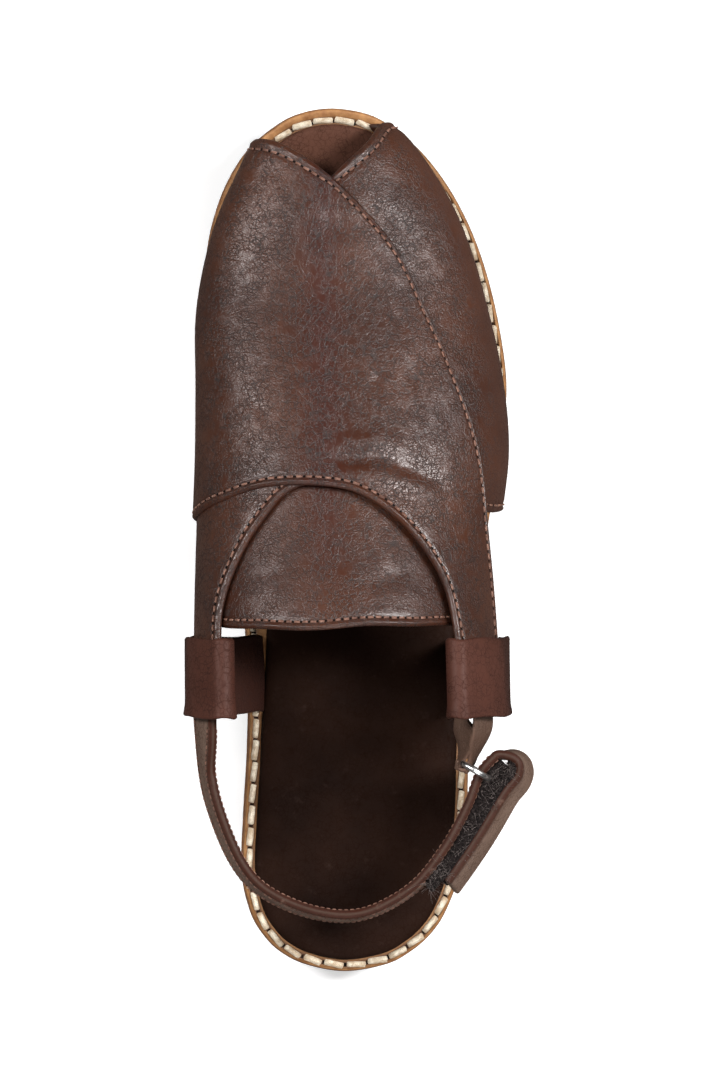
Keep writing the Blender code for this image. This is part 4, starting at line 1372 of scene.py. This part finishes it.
class StitchSettings(bpy.types.PropertyGroup):
    sole_pitch: FloatProperty(name="Sole stitch pitch", description="Distance from one hand stitch to the next",
                              default=0.0072, min=0.004, max=0.012, unit="LENGTH")
    band_pitch: FloatProperty(name="Topstitch pitch", description="Distance from one topstitch to the next",
                              default=0.0031, min=0.002, max=0.006, unit="LENGTH")
    hairs: IntProperty(name="Tape hairs", description="Loose hairs on each half of the tape", default=420, min=0,
                       max=2000)


class StudioSettings(bpy.types.PropertyGroup):
    side_light: FloatProperty(name="Side light", description="Power of the inner side's soft box in watts",
                              default=14.0, min=1.0, max=500.0)
    fill_light: FloatProperty(name="Fill light", description="Strength of the even light all round", default=0.05,
                              min=0.0, max=20.0)
    table_light: FloatProperty(name="Table light", description="Glow of the white table under the shoe",
                               default=0.34, min=0.0, max=10.0)
    lens: FloatProperty(name="Lens", description="Focal length in millimetres", default=140.0, min=35.0, max=300.0)


class OBJECT_OT_chappal_stage(bpy.types.Operator):
    """Build the floor, lights and camera"""

    bl_idname = "object.chappal_stage"
    bl_label = "Stage"

    def execute(self, context):
        add_stage(context.scene.chappal_studio)
        return {"FINISHED"}


class OBJECT_OT_chappal_soles(bpy.types.Operator):
    """Build the outsole, midsole, insole, heel and the hand stitching"""

    bl_idname = "object.chappal_soles"
    bl_label = "Soles"

    def execute(self, context):
        add_soles(context.scene.chappal_stitches)
        return {"FINISHED"}


class OBJECT_OT_chappal_bands(bpy.types.Operator):
    """Build the two crossing bands with their topstitching"""

    bl_idname = "object.chappal_bands"
    bl_label = "Bands"

    def execute(self, context):
        add_bands(context.scene.chappal_stitches)
        return {"FINISHED"}


class OBJECT_OT_chappal_tongue(bpy.types.Operator):
    """Build the tongue"""

    bl_idname = "object.chappal_tongue"
    bl_label = "Tongue"

    def execute(self, context):
        add_tongue(context.scene.chappal_stitches)
        return {"FINISHED"}


class OBJECT_OT_chappal_keepers(bpy.types.Operator):
    """Build the two keepers"""

    bl_idname = "object.chappal_keepers"
    bl_label = "Keepers"

    def execute(self, context):
        add_keepers(context.scene.chappal_stitches)
        return {"FINISHED"}


class OBJECT_OT_chappal_strap(bpy.types.Operator):
    """Build the heel strap and its flap"""

    bl_idname = "object.chappal_strap"
    bl_label = "Heel strap"

    def execute(self, context):
        add_strap(context.scene.chappal_stitches)
        return {"FINISHED"}


class OBJECT_OT_chappal_tapes(bpy.types.Operator):
    """Build the two halves of the hook-and-loop tape"""

    bl_idname = "object.chappal_tapes"
    bl_label = "Tapes"

    def execute(self, context):
        add_tapes(context.scene.chappal_stitches)
        return {"FINISHED"}


class OBJECT_OT_chappal_ring(bpy.types.Operator):
    """Build the ring and the tab that holds it"""

    bl_idname = "object.chappal_ring"
    bl_label = "Ring and tab"

    def execute(self, context):
        add_ring(context.scene.chappal_stitches)
        add_ring_tab(context.scene.chappal_stitches)
        return {"FINISHED"}


STEPS = (OBJECT_OT_chappal_stage, OBJECT_OT_chappal_soles, OBJECT_OT_chappal_bands, OBJECT_OT_chappal_tongue,
         OBJECT_OT_chappal_keepers, OBJECT_OT_chappal_strap, OBJECT_OT_chappal_tapes, OBJECT_OT_chappal_ring)


class VIEW3D_PT_chappal(bpy.types.Panel):
    bl_label = "Peshawari chappal"
    bl_space_type = "VIEW_3D"
    bl_region_type = "UI"
    bl_category = "Chappal"

    def draw(self, context):
        column = self.layout.column(align=True)
        for step in STEPS:
            column.operator(step.bl_idname)
        for settings in (context.scene.chappal_stitches, context.scene.chappal_studio):
            for name in type(settings).__annotations__:
                self.layout.prop(settings, name)


CLASSES = (StitchSettings, StudioSettings, *STEPS, VIEW3D_PT_chappal)


def register():
    for cls in CLASSES:
        bpy.utils.register_class(cls)
    bpy.types.Scene.chappal_stitches = PointerProperty(type=StitchSettings)
    bpy.types.Scene.chappal_studio = PointerProperty(type=StudioSettings)


def unregister():
    del bpy.types.Scene.chappal_studio
    del bpy.types.Scene.chappal_stitches
    for cls in reversed(CLASSES):
        bpy.utils.unregister_class(cls)


def main():
    register()
    for step in STEPS:
        getattr(bpy.ops.object, step.bl_idname.removeprefix("object."))()


if __name__ == "__main__":
    main()
